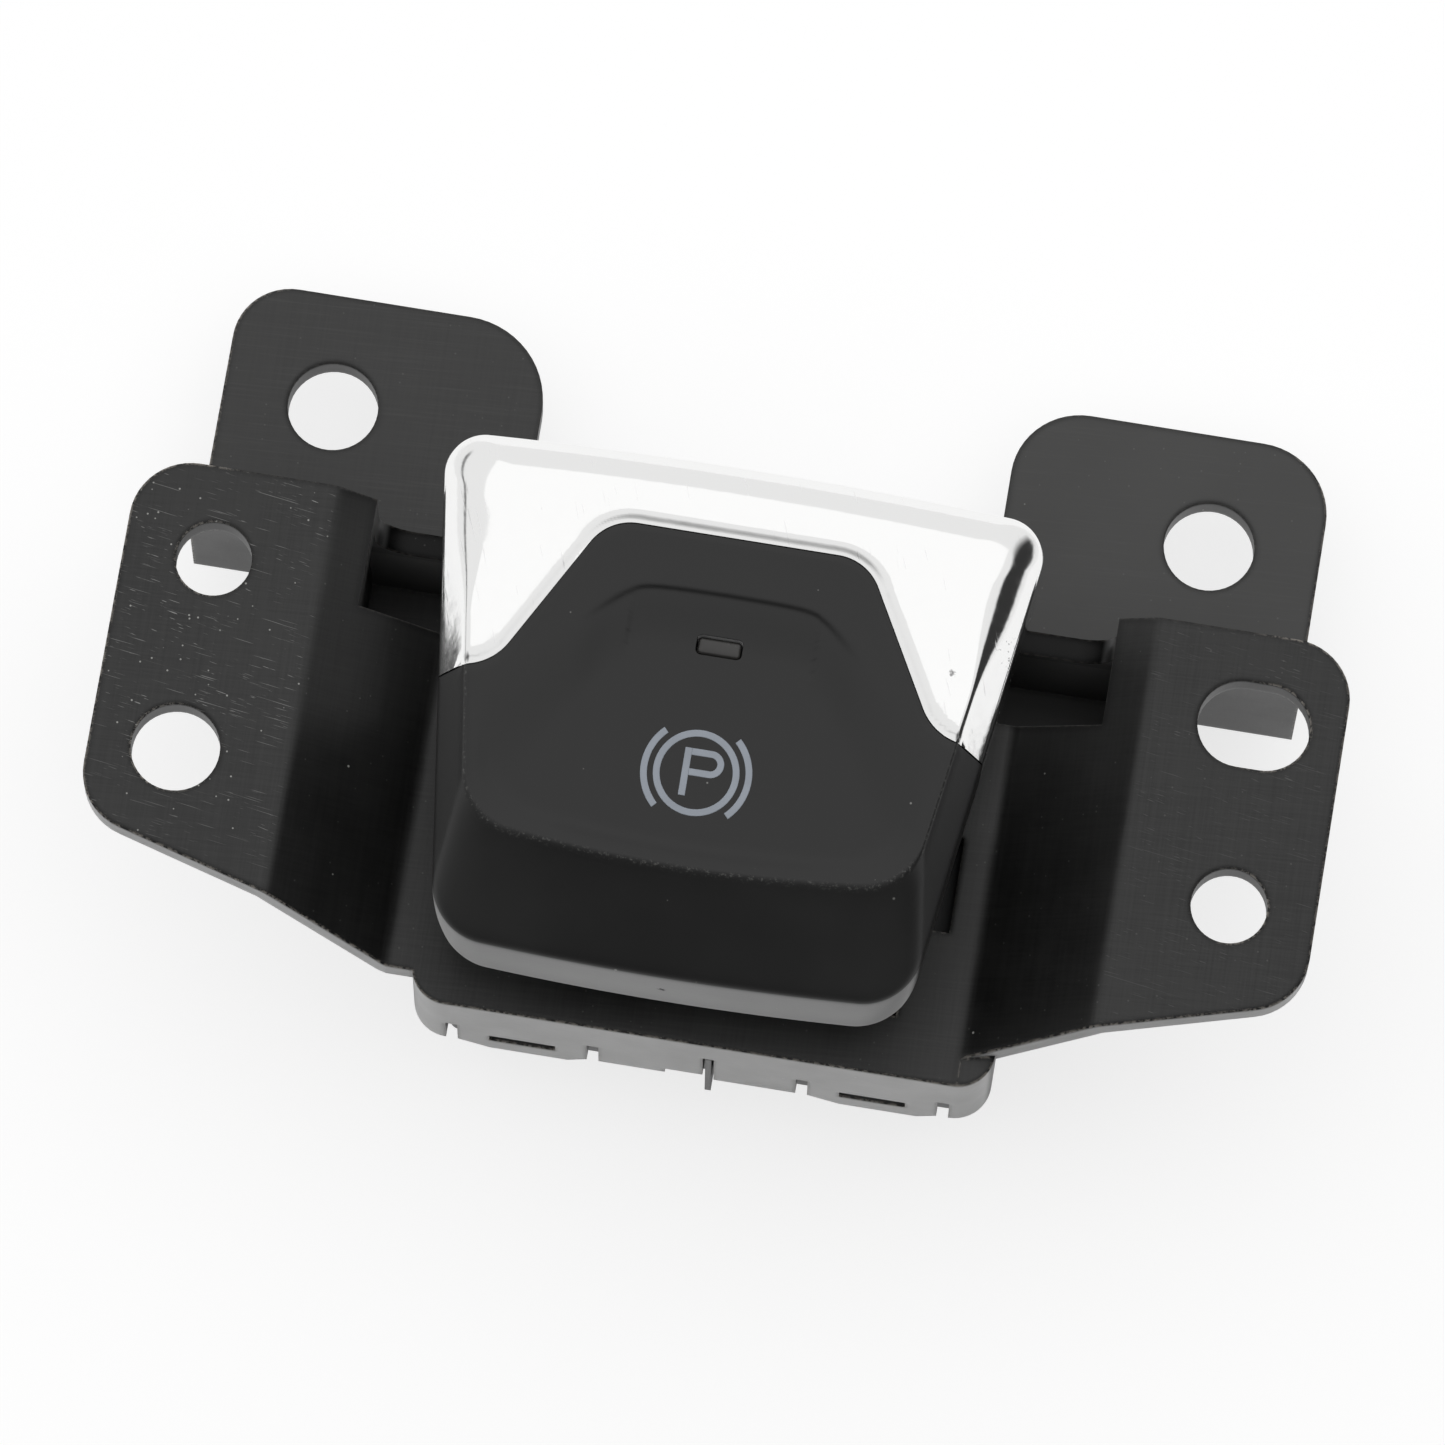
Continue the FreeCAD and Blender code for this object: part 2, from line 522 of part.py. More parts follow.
def make_bracket():
    """Moulded bracket: wings, slopes, deck, skirted box, rear wall and rear tabs."""
    body = new_body("bracket")
    span, fold, foot, thick = size.wing_half_span, size.fold_half, size.deck_half, size.plate
    half_top = [(foot, deck_top), (fold, 0), (span, 0)]
    half_under = [(span, -thick), (fold + fold_shift, -thick), (foot + fold_shift, deck_top - thick)]
    profile = half_top + half_under + mirrored(half_under)[::-1] + mirrored(half_top)[::-1]
    plate = pad(body, draw(body, "XZ_Plane", 0, [profile]), size.box_front)
    folds = [(s * float(fold), 0) for s in (-1, 1)] + [(s * float(foot), float(deck_top)) for s in (-1, 1)]
    plate = round_edges(body, plate, size.fold_round, along_y_at(folds))

    # Slanted front edges of wings and slopes, then the moulding window behind the deck
    past = -(size.box_front + 1)
    trim_right = [(span + 1, -size.wing_front_outer), (span, -size.wing_front_outer),
                  (fold, -size.wing_front_inner), (foot, -size.slope_front),
                  (foot, past), (span + 1, past)]
    trim_left = [(-(span + 1), -size.wing_front_outer), (-span, -size.wing_front_outer),
                 (-fold, -size.wing_front_inner), (-foot, -size.slope_front),
                 (-size.box_left, -size.slope_front), (-size.box_left, past), (-(span + 1), past)]
    pocket(body, draw(body, "XY_Plane", 0, [trim_right, trim_left]))
    window = box(-size.window_half, size.window_half, 1, -size.window_depth)
    plate = pocket(body, draw(body, "XY_Plane", 0, [window]))
    corners = [(s * float(span), y) for s in (-1, 1) for y in (0, -float(size.wing_front_outer))]
    round_edges(body, plate, size.wing_corner, upright_at(corners))

    # Box under the deck, open below, with its rear wall carried down to the channel floor
    outer = box(-size.box_left, size.box_right, -size.window_depth, -size.box_front)
    solid = pad(body, draw(body, "XY_Plane", deck_top, [outer]), size.box_deep, reverse=True)
    fronts = [(-float(size.box_left), -float(size.box_front)), (float(size.box_right), -float(size.box_front))]
    round_edges(body, solid, size.box_corner, upright_at(fronts))
    inner = box(-size.box_left + size.box_wall, size.box_right - size.box_wall,
                -size.window_depth - size.box_wall, -size.box_front + size.box_wall)
    pocket(body, draw(body, "XY_Plane", skirt_bottom, [inner]), size.box_deep - thick, reverse=True)
    stem = box(-size.box_left, size.box_right, -size.window_depth, -size.window_depth - size.box_wall)
    pad(body, draw(body, "XY_Plane", skirt_bottom + 1, [stem]), skirt_bottom + 1 - tab_bottom, reverse=True)

    # Deck aperture with its two side notches
    notch_end = size.notch_rear + size.notch_long
    side = [(size.aperture_half, -size.aperture_rear), (size.aperture_half, -size.notch_rear),
            (size.notch_half, -size.notch_rear), (size.notch_half, -notch_end),
            (size.aperture_half, -notch_end), (size.aperture_half, -size.aperture_front)]
    pocket(body, draw(body, "XY_Plane", deck_top, [side + mirrored(side)[::-1]]), thick + size.sink)

    # Rear wall, low between the wings, and the end walls of the channel in front of it
    low = -size.rear_wall_top
    post_high = -(deck_drop_at(size.window_half)) - 1
    half_wall = [(size.window_half, low), (size.window_half, post_high), (fold, -1), (size.tab_outer, -1),
                 (size.tab_outer, tab_bottom)]
    wall = pad(body, draw(body, "XZ_Plane", 0, [half_wall + mirrored(half_wall)[::-1]]), size.rear_wall)
    low_corners = [(s * float(size.window_half), float(low)) for s in (-1, 1)]
    slope_under = -(deck_drop_at(size.window_half)) - thick * slope_long / slope_run
    wall_round = limited(size.rear_wall_round, (slope_under - low) * 0.8)
    round_edges(body, wall, wall_round, along_y_at(low_corners))
    end_in = size.window_half + size.end_step
    end_out = end_in + size.end_wall
    end = [(end_in, tab_bottom), (end_out, tab_bottom), (end_out, -(deck_drop_at(end_out)) - 1),
           (end_in, -(deck_drop_at(end_in)) - 1)]
    pad(body, draw(body, "XZ_Plane", 1, [end, mirrored(end)]), size.window_depth)

    # Rear tabs and the channel floor, one flat web
    floor_front = -size.window_depth - size.box_wall + size.sink
    half_web = [(size.tab_inner, -size.sink), (size.tab_inner, size.tab_reach),
                (size.tab_outer, size.tab_reach), (size.tab_outer, -1), (size.floor_half, -1), (size.floor_half, floor_front)]
    web = draw(body, "XY_Plane", tab_top, [half_web + mirrored(half_web)[::-1]])
    web = pad(body, web, size.tab_thick, reverse=True)
    tab_corners = [(-size.tab_outer, size.left_tab_out), (-size.tab_inner, size.left_tab_in),
                   (size.tab_inner, size.right_tab_in), (size.tab_outer, size.right_tab_out)]
    for x, radius in tab_corners:
        web = round_edges(body, web, radius, upright_at([(float(x), float(size.tab_reach))]))

    # Ribs from the box up to the slopes
    make_slope_ribs(body, (size.rib_rear_in, size.rib_front_in))

    # Holes in wings and tabs
    rear_x, rear_in, front_x = size.rear_hole_x, size.rear_hole_in, size.front_hole_x
    slot_half = (size.slot_long - size.pin_hole) / 2
    holes = [(-rear_x, -rear_in, size.screw_hole), (front_x, -size.right_hole_in, size.screw_hole),
             (-front_x, -size.left_hole_in, size.pin_hole)]
    tab_holes = [(s * size.tab_hole_x, size.tab_hole_back, size.tab_hole) for s in (-1, 1)]
    pocket(body, draw(body, "XY_Plane", 0, circles=holes), thick + size.sink)
    pocket(body, draw(body, "XY_Plane", tab_top, circles=tab_holes), size.tab_thick + size.sink)
    slot_box = box(rear_x - slot_half, rear_x + slot_half,
                   -rear_in + size.pin_hole / 2, -rear_in - size.pin_hole / 2)
    pocket(body, draw(body, "XY_Plane", 0, [slot_box]), thick + size.sink)
    for side_shift in (-slot_half, slot_half):
        end_circle = [(rear_x + side_shift, -rear_in, size.pin_hole)]
        pocket(body, draw(body, "XY_Plane", 0, circles=end_circle), thick + size.sink)

    make_skirt_details(body)
    return body


def deck_drop_at(x):
    """How far a slope's top lies under the wings at a distance from the middle."""
    return (size.fold_half - x) * size.deck_drop / slope_run


def make_slope_ribs(body, places):
    """Stiffening ribs under the slopes, from the box's side walls out to the folds."""
    tip = size.fold_half + fold_shift
    thick = size.plate
    for left in (False, True):
        wall = size.box_left if left else size.box_right
        start = wall - size.sink
        rib_side = [(start, skirt_bottom + 2), (tip, -thick - 1.5), (tip, -thick + size.sink),
                    (start, -deck_drop_at(start) - thick + size.sink)]
        for place in places:
            outline = mirrored(rib_side) if left else rib_side
            pad(body, draw(body, "XZ_Plane", place, [outline]), size.rib)


def make_skirt_details(body):
    """Snap arms with their windows, the slits beside them and the slit for the locating fin."""
    front = size.box_front
    arms, slits, eyes = [], [], []
    for side in (-1, 1):
        middle = box_middle + side * size.arm_pitch
        low = skirt_bottom - size.arm_tip
        left, right = middle - size.arm_half, middle + size.arm_half
        arms.append([(left, skirt_bottom + size.sink), (right, skirt_bottom + size.sink),
                     (right, skirt_bottom), (right - size.arm_slant_right, low),
                     (left + size.arm_slant_left, low), (left, skirt_bottom)])
        for edge in (-1, 1):
            slit_middle = middle + edge * (size.arm_half + size.slit / 2)
            slits.append(box(slit_middle - size.slit / 2, slit_middle + size.slit / 2,
                             skirt_bottom - 1, skirt_bottom + size.slit_tall))
        eyes.append(box(middle - size.eye_wide / 2, middle + size.eye_wide / 2,
                        deck_top - size.eye_drop, deck_top - size.eye_drop - size.eye_tall))
    pad(body, draw(body, "XZ_Plane", front - size.box_wall, arms), size.box_wall)
    slit_left = box_middle + size.fin_off - size.fin_slit / 2
    fin_slit = [box(slit_left, slit_left + size.fin_slit, skirt_bottom - 1, deck_top - size.fin_slit_top)]
    clip_cut = [box(slit_left - size.clip_wide, slit_left, skirt_bottom - 1, skirt_bottom + size.clip_tall)]
    cuts = draw(body, "XZ_Plane", front + 1, slits + eyes + fin_slit)
    pocket(body, cuts, size.box_wall + 1.5)
    pocket(body, draw(body, "XZ_Plane", front + 1, clip_cut), size.box_wall + 1.5)
    back_eyes = draw(body, "XZ_Plane", size.window_depth - 1, eyes)
    pocket(body, back_eyes, size.box_wall + 1.5, reverse=True)


def make_housing():
    """Upper housing of the module: a box open below, with hinge ears, bores and snap hooks."""
    body = new_body("switch_housing")
    outline = box(module_left, module_right, module_rear, module_front)
    block = pad(body, draw(body, "XY_Plane", module_top, [outline]), module_top - cover_top, reverse=True)
    corners = [(float(x), float(y)) for x in (module_left, module_right) for y in (module_rear, module_front)]
    round_edges(body, block, size.housing_corner, upright_at(corners))
    room = box(room_left, room_right, room_rear, room_front)
    pocket(body, draw(body, "XY_Plane", cover_top, [room]), ceiling - cover_top, reverse=True)

    # Screw columns in the four corners, stopping on the board
    columns = []
    for x, y in screw_spots():
        columns.append(box(x - size.screw_inset - size.column_over, x + size.screw_inset,
                           y - size.screw_inset, y + size.screw_inset))
    column_top = ceiling + size.sink
    for column in columns:
        pad(body, draw(body, "XY_Plane", column_top, [column]), column_top - board_top, reverse=True)
    pilots = [(x, y, size.screw + size.pilot_play) for x, y in screw_spots()]
    pocket(body, draw(body, "XY_Plane", board_top, circles=pilots), size.pilot_deep, reverse=True)

    # Plunger bores, the light guide's seat and the symbol's light window
    bores = [(x, y, size.plunger + 2 * size.plunger_play) for x, y in plunger_spots()]
    sleeves = [(x, y, size.plunger + 2 * size.sleeve_wall) for x, y in plunger_spots()]
    sleeve_tall = size.sink + size.sleeve_long
    through = size.module_wall + size.sleeve_long + size.sink
    pad(body, draw(body, "XY_Plane", column_top, circles=sleeves), sleeve_tall, reverse=True)
    pocket(body, draw(body, "XY_Plane", module_top, circles=bores), through)
    guide = box(-guide_half_x, guide_half_x, guide_y - guide_half_y, guide_y + guide_half_y)
    light = box(-size.light_wide / 2, size.light_wide / 2,
                -size.symbol_in - size.light_long / 2, -size.symbol_in + size.light_long / 2)
    pocket(body, draw(body, "XY_Plane", module_top, [guide, light]), through)

    # Hinge ears with round heads, bored for the pins
    for x in (size.ear_in, -size.ear_in - size.ear_thick):
        foot = box(hinge_y - size.ear_half, hinge_y + size.ear_half, module_top - size.sink, hinge_z)
        pad(body, draw(body, "YZ_Plane", x, [foot]), size.ear_thick)
        head = draw(body, "YZ_Plane", x, circles=[(hinge_y, hinge_z, 2 * size.ear_half)])
        pad(body, head, size.ear_thick)
    bore = draw(body, "YZ_Plane", 0, circles=[(hinge_y, hinge_z, size.hinge_pin + 2 * size.hinge_play)])
    pocket(body, bore)

    # Snap hooks front and rear, guide ribs and the locating fin
    hook_top = deck_top - size.eye_drop - size.snap_gap
    hook_tall = size.eye_tall - 2 * size.snap_gap
    for middle in (box_middle - size.arm_pitch, box_middle + size.arm_pitch):
        half = size.eye_wide / 2 - size.hook_side
        reach_front = -(size.box_front - size.hook_front_back)
        hook = box(middle - half, middle + half, module_front + size.sink, reach_front)
        pad(body, draw(body, "XY_Plane", hook_top, [hook]), hook_tall, reverse=True)
        reach_rear = -(size.window_depth + size.hook_rear_in)
        hook = box(middle - half, middle + half, module_rear - size.sink, reach_rear)
        pad(body, draw(body, "XY_Plane", hook_top, [hook]), hook_tall, reverse=True)
    rib_front = -(size.box_front - size.box_wall) + size.snap_gap
    ribs = []
    for shift in (-size.guide_rib_far, -size.guide_rib_near, size.guide_rib_near, size.guide_rib_far):
        left = box_middle + shift - size.guide_rib / 2
        ribs.append(box(left, left + size.guide_rib, module_front + size.sink, rib_front))
    rib_top = module_top - size.guide_rib_drop
    pad(body, draw(body, "XY_Plane", rib_top, ribs), size.guide_rib_tall, reverse=True)
    fin_left = box_middle + size.fin_off - size.fin_thick / 2
    fin = box(fin_left, fin_left + size.fin_thick, module_front + size.sink,
              -(size.box_front - size.fin_set_back))
    fin_top = deck_top - size.fin_slit_top - size.side_gap
    pad(body, draw(body, "XY_Plane", fin_top, [fin]), size.fin_tall, reverse=True)
    return body


def screw_spots():
    """Places of the four cover screws, in from the housing's inner corners."""
    inset = size.screw_inset
    return [(x, y) for x in (room_left + inset, room_right - inset)
            for y in (room_rear - inset, room_front + inset)]


def plunger_spots():
    """Places of the front and the rear plunger."""
    return [(size.front_plunger_x, -size.front_plunger_in), (-size.rear_plunger_x, -size.rear_plunger_in)]


def switch_spots():
    """Places of the push detector, right of its plunger, and the pull detector, in front of its own."""
    front, rear = plunger_spots()
    return [(front[0] + size.switch_offset, front[1]), (rear[0], rear[1] - size.switch_offset)]


def make_base_cover():
    """Base cover: plate with a rear foot, locating lip, spring posts, board rests and the connector socket."""
    body = new_body("base_cover")
    outline = box(module_left, module_right, -size.cover_rear, module_front)
    plate = pad(body, draw(body, "XY_Plane", cover_top, [outline]), size.cover_thick, reverse=True)
    corners = [(float(x), float(y)) for x in (module_left, module_right)
               for y in (-size.cover_rear, module_front)]
    round_edges(body, plate, size.housing_corner, upright_at(corners))
    gap = size.lip_gap
    within = size.lip_gap + size.lip_wall
    under = cover_top - size.sink
    lip = box(room_left + gap, room_right - gap, room_rear - gap, room_front + gap)
    pad(body, draw(body, "XY_Plane", under, [lip]), size.sink + size.lip_tall)
    hollow = box(room_left + within, room_right - within, room_rear - within, room_front + within)
    pocket(body, draw(body, "XY_Plane", cover_top, [hollow]), size.sink + size.lip_tall, reverse=True)

    # Connector socket: a roofed cup open below
    x0, x1, y0, y1 = socket_box()
    wall = size.socket_wall
    cup = box(x0 - wall, x1 + wall, y0 + wall, y1 - wall)
    roof = -size.base_drop + size.socket_tall
    pad(body, draw(body, "XY_Plane", under, [cup]), roof + wall - under)
    pocket(body, draw(body, "XY_Plane", -size.base_drop, [box(x0, x1, y0, y1)]), size.socket_tall, reverse=True)
    key = box(box_middle - size.key_wide / 2, box_middle + size.key_wide / 2, y1, y1 - size.key_deep)
    pocket(body, draw(body, "XY_Plane", -size.base_drop, [key]), size.socket_tall, reverse=True)
    half = size.terminal / 2 + size.terminal_fit
    slots = [box(x - half, x + half, y - half, y + half) for x, y in terminal_spots()]
    pocket(body, draw(body, "XY_Plane", roof - size.sink, slots), wall + 2 * size.sink, reverse=True)

    # Spring posts, board rests and screw holes
    posts = [(x, y, size.post) for x, y in plunger_spots()]
    pad(body, draw(body, "XY_Plane", under, circles=posts), post_top - under)
    nipples = [(x, y, nipple_across) for x, y in plunger_spots()]
    pad(body, draw(body, "XY_Plane", post_top - size.sink, circles=nipples), size.sink + size.nipple_tall)
    rests = [(x, y, size.rest) for x, y in screw_spots()]
    pad(body, draw(body, "XY_Plane", under, circles=rests), board_bottom - under)
    shanks = [(x, y, size.screw + size.shank_play) for x, y in screw_spots()]
    pocket(body, draw(body, "XY_Plane", 0, circles=shanks))
    heads = [(x, y, size.screw_head + size.head_play) for x, y in screw_spots()]
    pocket(body, draw(body, "XY_Plane", -size.base_drop, circles=heads), size.head_deep, reverse=True)
    return body


def socket_box():
    """Inside of the connector socket in plan."""
    x0 = box_middle - size.socket_wide / 2
    y0 = -size.socket_in + size.socket_deep / 2
    return x0, x0 + size.socket_wide, y0, y0 - size.socket_deep


def terminal_spots():
    """Places of the terminal pins: two rows of four."""
    spots = []
    for row_number in (-0.5, 0.5):
        for column in (-1.5, -0.5, 0.5, 1.5):
            spots.append((box_middle + column * size.terminal_pitch,
                          -size.socket_in + row_number * size.terminal_pitch))
    return spots


def make_board():
    """Printed circuit board with its screw, post and terminal holes."""
    body = new_body("circuit_board")
    gap = size.board_gap
    outline = box(room_left + gap, room_right - gap, room_rear - gap, room_front + gap)
    pad(body, draw(body, "XY_Plane", board_bottom, [outline]), size.board_thick)
    holes = [(x, y, size.screw + size.board_screw_play) for x, y in screw_spots()]
    holes += [(x, y, size.post + size.board_post_play) for x, y in plunger_spots()]
    pocket(body, draw(body, "XY_Plane", board_top, circles=holes), size.board_thick + size.sink)
    half = size.terminal / 2 + size.terminal_gap
    slots = [box(x - half, x + half, y - half, y + half) for x, y in terminal_spots()]
    pocket(body, draw(body, "XY_Plane", board_top, slots), size.board_thick + size.sink)
    return body


def block(label, x, y, z, wide, long, tall):
    """A box by its middle in plan, its underside and its three sizes."""
    piece = doc.addObject("Part::Box", label)
    piece.Label = label
    piece.setExpression("Length", dim(wide).text)
    piece.setExpression("Width", dim(long).text)
    piece.setExpression("Height", dim(tall).text)
    place(piece, dim(x) - dim(wide) / 2, dim(y) - dim(long) / 2, z)
    return piece


def rod(label, x, y, z, across, tall):
    """An upright cylinder by its axis, its underside, its diameter and its height."""
    piece = doc.addObject("Part::Cylinder", label)
    piece.Label = label
    piece.setExpression("Radius", (dim(across) / 2).text)
    piece.setExpression("Height", dim(tall).text)
    place(piece, x, y, z)
    return piece


def place(piece, x, y, z):
    """Bind where a primitive stands in the work frame."""
    piece.setExpression(".Placement.Base.x", dim(x).text)
    piece.setExpression(".Placement.Base.y", dim(y).text)
    piece.setExpression(".Placement.Base.z", dim(z).text)


def fuse(label, pieces):
    """Join primitives into one moulded piece."""
    joined = doc.addObject("Part::MultiFuse", label)
    joined.Label = label
    joined.Shapes = pieces
    joined.Refine = True
    lift(joined)
    return joined


def group(label, pieces):
    """Keep like pieces as separate solids of one node."""
    compound = doc.addObject("Part::Compound", label)
    compound.Label = label
    compound.Links = pieces
    lift(compound)
    return compound


def cut(label, base, tool):
    """Take one shape out of another."""
    result = doc.addObject("Part::Cut", label)
    result.Label = label
    result.Base = base
    result.Tool = tool
    return result


def make_terminals():
    """Square terminal pins, from the socket up through the board."""
    low = -size.base_drop + size.terminal_in
    tall = board_top + size.terminal_rise - low
    pins = []
    for number, (x, y) in enumerate(terminal_spots()):
        pins.append(block("terminal_%d" % number, x, y, low, size.terminal, size.terminal, tall))
    return group("terminal_pins", pins)


def make_screws():
    """Pan-head screws that hold the cover, the board and the housing together."""
    head_z = -size.base_drop + size.head_up
    shank_z = head_z + size.head_tall
    shank_tall = board_top + size.shank_rise - shank_z
    screws = []
    for number, (x, y) in enumerate(screw_spots()):
        head = rod("screw_head_%d" % number, x, y, head_z, size.screw_head, size.head_tall)
        shank = rod("screw_shank_%d" % number, x, y, shank_z, size.screw, shank_tall)
        whole = doc.addObject("Part::Fuse", "screw_%d" % number)
        whole.Base = head
        whole.Tool = shank
        recess = block("screw_recess_%d" % number, x, y, head_z - size.sink, size.recess_long,
                       size.recess_wide, size.recess_deep + size.sink)
        screws.append(cut("cover_screw_%d" % number, whole, recess))
    return group("cover_screws", screws)


def make_detectors():
    """Two detector switches on the board, and their sprung stems."""
    made = []
    floor = board_top + size.well_floor
    names = (("push_switch", "push_switch_stem"), ("pull_switch", "pull_switch_stem"))
    for (body_name, stem_name), (x, y) in zip(names, switch_spots()):
        case = block(body_name + "_case", x, y, board_top, size.switch_side, size.switch_side, size.switch_tall)
        well = rod(body_name + "_well", x, y, floor, size.stem + 2 * size.stem_play, size.switch_tall)
        hollow = cut(body_name, case, well)
        lift(hollow)
        made.append(hollow)
        low = floor + size.stem_rest
        stem = rod(stem_name, x, y, low, size.stem, flange_bottom - low)
        made.append(fuse_single(stem))
    return made


def fuse_single(piece):
    """Give a single primitive the part's own placement under its own label."""
    name = piece.Label
    piece.Label = name + "_form"
    return group(name, [piece])


def make_plungers():
    """Two plungers: a guided stem with a domed top and a flange over its detector."""
    made = []
    reach = size.switch_offset + size.stem / 2 + size.plunger / 2 + size.flange_over
    shift = (reach - size.plunger) / 2
    for name, (x, y) in zip(("front_plunger", "rear_plunger"), plunger_spots()):
        top = -size.plunger_top
        stem = rod(name + "_stem", x, y, flange_top - size.sink, size.plunger, top - flange_top + size.sink)
        if name == "front_plunger":
            flange = block(name + "_flange", x + shift, y, flange_bottom, reach, size.plunger,
                           size.flange_thick)
        else:
            flange = block(name + "_flange", x, y - shift, flange_bottom, size.plunger, reach,
                           size.flange_thick)
        nipple = rod(name + "_nipple", x, y, flange_bottom - size.plunger_nipple, nipple_across,
                     size.plunger_nipple + size.sink)
        made.append(fuse(name, [stem, flange, nipple]))
    return made


def make_springs():
    """Return springs between the posts and the plungers, wound from an eight-sided wire."""
    made = []
    wire = float(size.spring_wire)
    low = float(post_top) + wire / 2
    rise = float(flange_bottom) - wire / 2 - low
    turns, steps = float(size.spring_turns), 14
    count = int(turns * steps)
    for name, (x, y) in zip(("front_spring", "rear_spring"), plunger_spots()):
        sections = []
        for i in range(count + 1):
            turn = 2 * math.pi * i / steps
            outward = Vector(math.cos(turn), math.sin(turn), 0)
            centre = Vector(float(x), float(y), low + rise * i / count)
            corners = []
            for k in range(8):
                angle = 2 * math.pi * k / 8
                across = float(size.spring_mean) / 2 + wire / 2 * math.cos(angle)
                corners.append(centre + outward * across + Vector(0, 0, wire / 2 * math.sin(angle)))
            sections.append(Part.makePolygon(corners + corners[:1]))
        made.append(solid_feature(name, Part.makeLoft(sections, True, True)))
    return made


def make_board_parts():
    """Lamps, control chip and chip resistors standing on the board."""
    lamp = block("indicator_lamp_form", 0, guide_y, board_top, size.lamp_body_wide, size.lamp_body_long,
                 size.lamp_body_tall)
    indicator = group("indicator_led", [lamp])
    glows = []
    for number, x in enumerate((-size.glow_off, size.glow_off)):
        glows.append(block("backlight_%d" % number, x, hinge_y, board_top, size.glow_wide, size.glow_long,
                           size.glow_tall))
    backlights = group("backlight_leds", glows)
    chip = block("control_chip_form", size.chip_off, -size.chip_in, board_top, size.chip_wide,
                 size.chip_long, size.chip_tall)
    control = group("control_chip", [chip])
    resistors = []
    for number in range(5):
        x = -size.resistor_off + number * size.resistor_pitch
        resistors.append(block("resistor_%d" % number, x, -size.resistor_in, board_top, size.resistor_wide,
                               size.resistor_long, size.resistor_tall))
    return [indicator, backlights, control, group("chip_resistors", resistors)]


def make_light_guide():
    """Clear light guide from the indicator lamp up through the housing's top."""
    low = board_top + size.guide_lift
    column = block("light_guide_column", 0, guide_y, low, size.guide_wide - 2 * size.guide_play,
                   size.guide_long - 2 * size.guide_play, module_top + size.guide_proud - low)
    collar = block("light_guide_collar", 0, guide_y, ceiling - size.collar_thick,
                   size.guide_wide + 2 * size.collar_side, size.guide_long + 2 * size.collar_end,
                   size.collar_thick - size.face_gap)
    return fuse("light_guide", [column, collar])


def make_hinge_pins():
    """Two short steel pins through the ears and the carrier's bosses."""
    inner = size.ear_in - size.side_gap - size.boss_thick
    long = size.ear_in + size.ear_thick - inner
    pins = []
    for name, x in (("right_pin", inner), ("left_pin", -inner - long)):
        pin = doc.addObject("Part::Cylinder", name)
        pin.setExpression("Radius", (size.hinge_pin / 2).text)
        pin.setExpression("Height", dim(long).text)
        pin.Placement = Placement(Vector(0, 0, 0), Rotation(Vector(0, 1, 0), 90))
        place(pin, x, hinge_y, hinge_z)
        pins.append(pin)
    return group("hinge_pins", pins)


def plan_prism(rear, front, half_rear, half_front, bow_rear, bow_front, round_rear, round_front):
    """Tall prism over a tapered outline with bowed ends and round corners, front towards -Y."""
    low, high = -40.0, 40.0
    mid = -float(size.knob_shift)
    p = [Vector(mid - half_rear, -rear, low), Vector(mid + half_rear, -rear, low),
         Vector(mid + half_front, -front, low), Vector(mid - half_front, -front, low)]
    rear_arc = Part.Arc(p[0], Vector(mid, -rear + bow_rear, low), p[1]).toShape()
    front_arc = Part.Arc(p[2], Vector(mid, -front - bow_front, low), p[3]).toShape()
    sides = [Part.makeLine(p[1], p[2]), Part.makeLine(p[3], p[0])]
    face = Part.Face(Part.Wire([rear_arc, sides[0], front_arc, sides[1]]))
    prism = face.extrude(Vector(0, 0, high - low))
    for radius, corners in ((round_rear, p[:2]), (round_front, p[2:])):
        edges = []
        for edge in prism.Edges:
            a = edge.Vertexes[0].Point
            b = edge.Vertexes[-1].Point
            if abs(a.x - b.x) < 1e-6 and abs(a.y - b.y) < 1e-6:
                if any(abs(a.x - c.x) < 1e-6 and abs(a.y - c.y) < 1e-6 for c in corners):
                    edges.append(edge)
        prism = prism.makeFillet(radius, edges)
    return prism


def slice_wire(prism, height, fall):
    """Outline of a prism where a plane that falls to the front crosses it."""
    reach = 120.0
    corners = []
    for x, y in ((-reach, -reach), (reach, -reach), (reach, reach), (-reach, reach)):
        corners.append(Vector(x, y, height + fall * y))
    sheet_face = Part.Face(Part.makePolygon(corners + corners[:1]))
    return prism.common(sheet_face).Faces[0].OuterWire


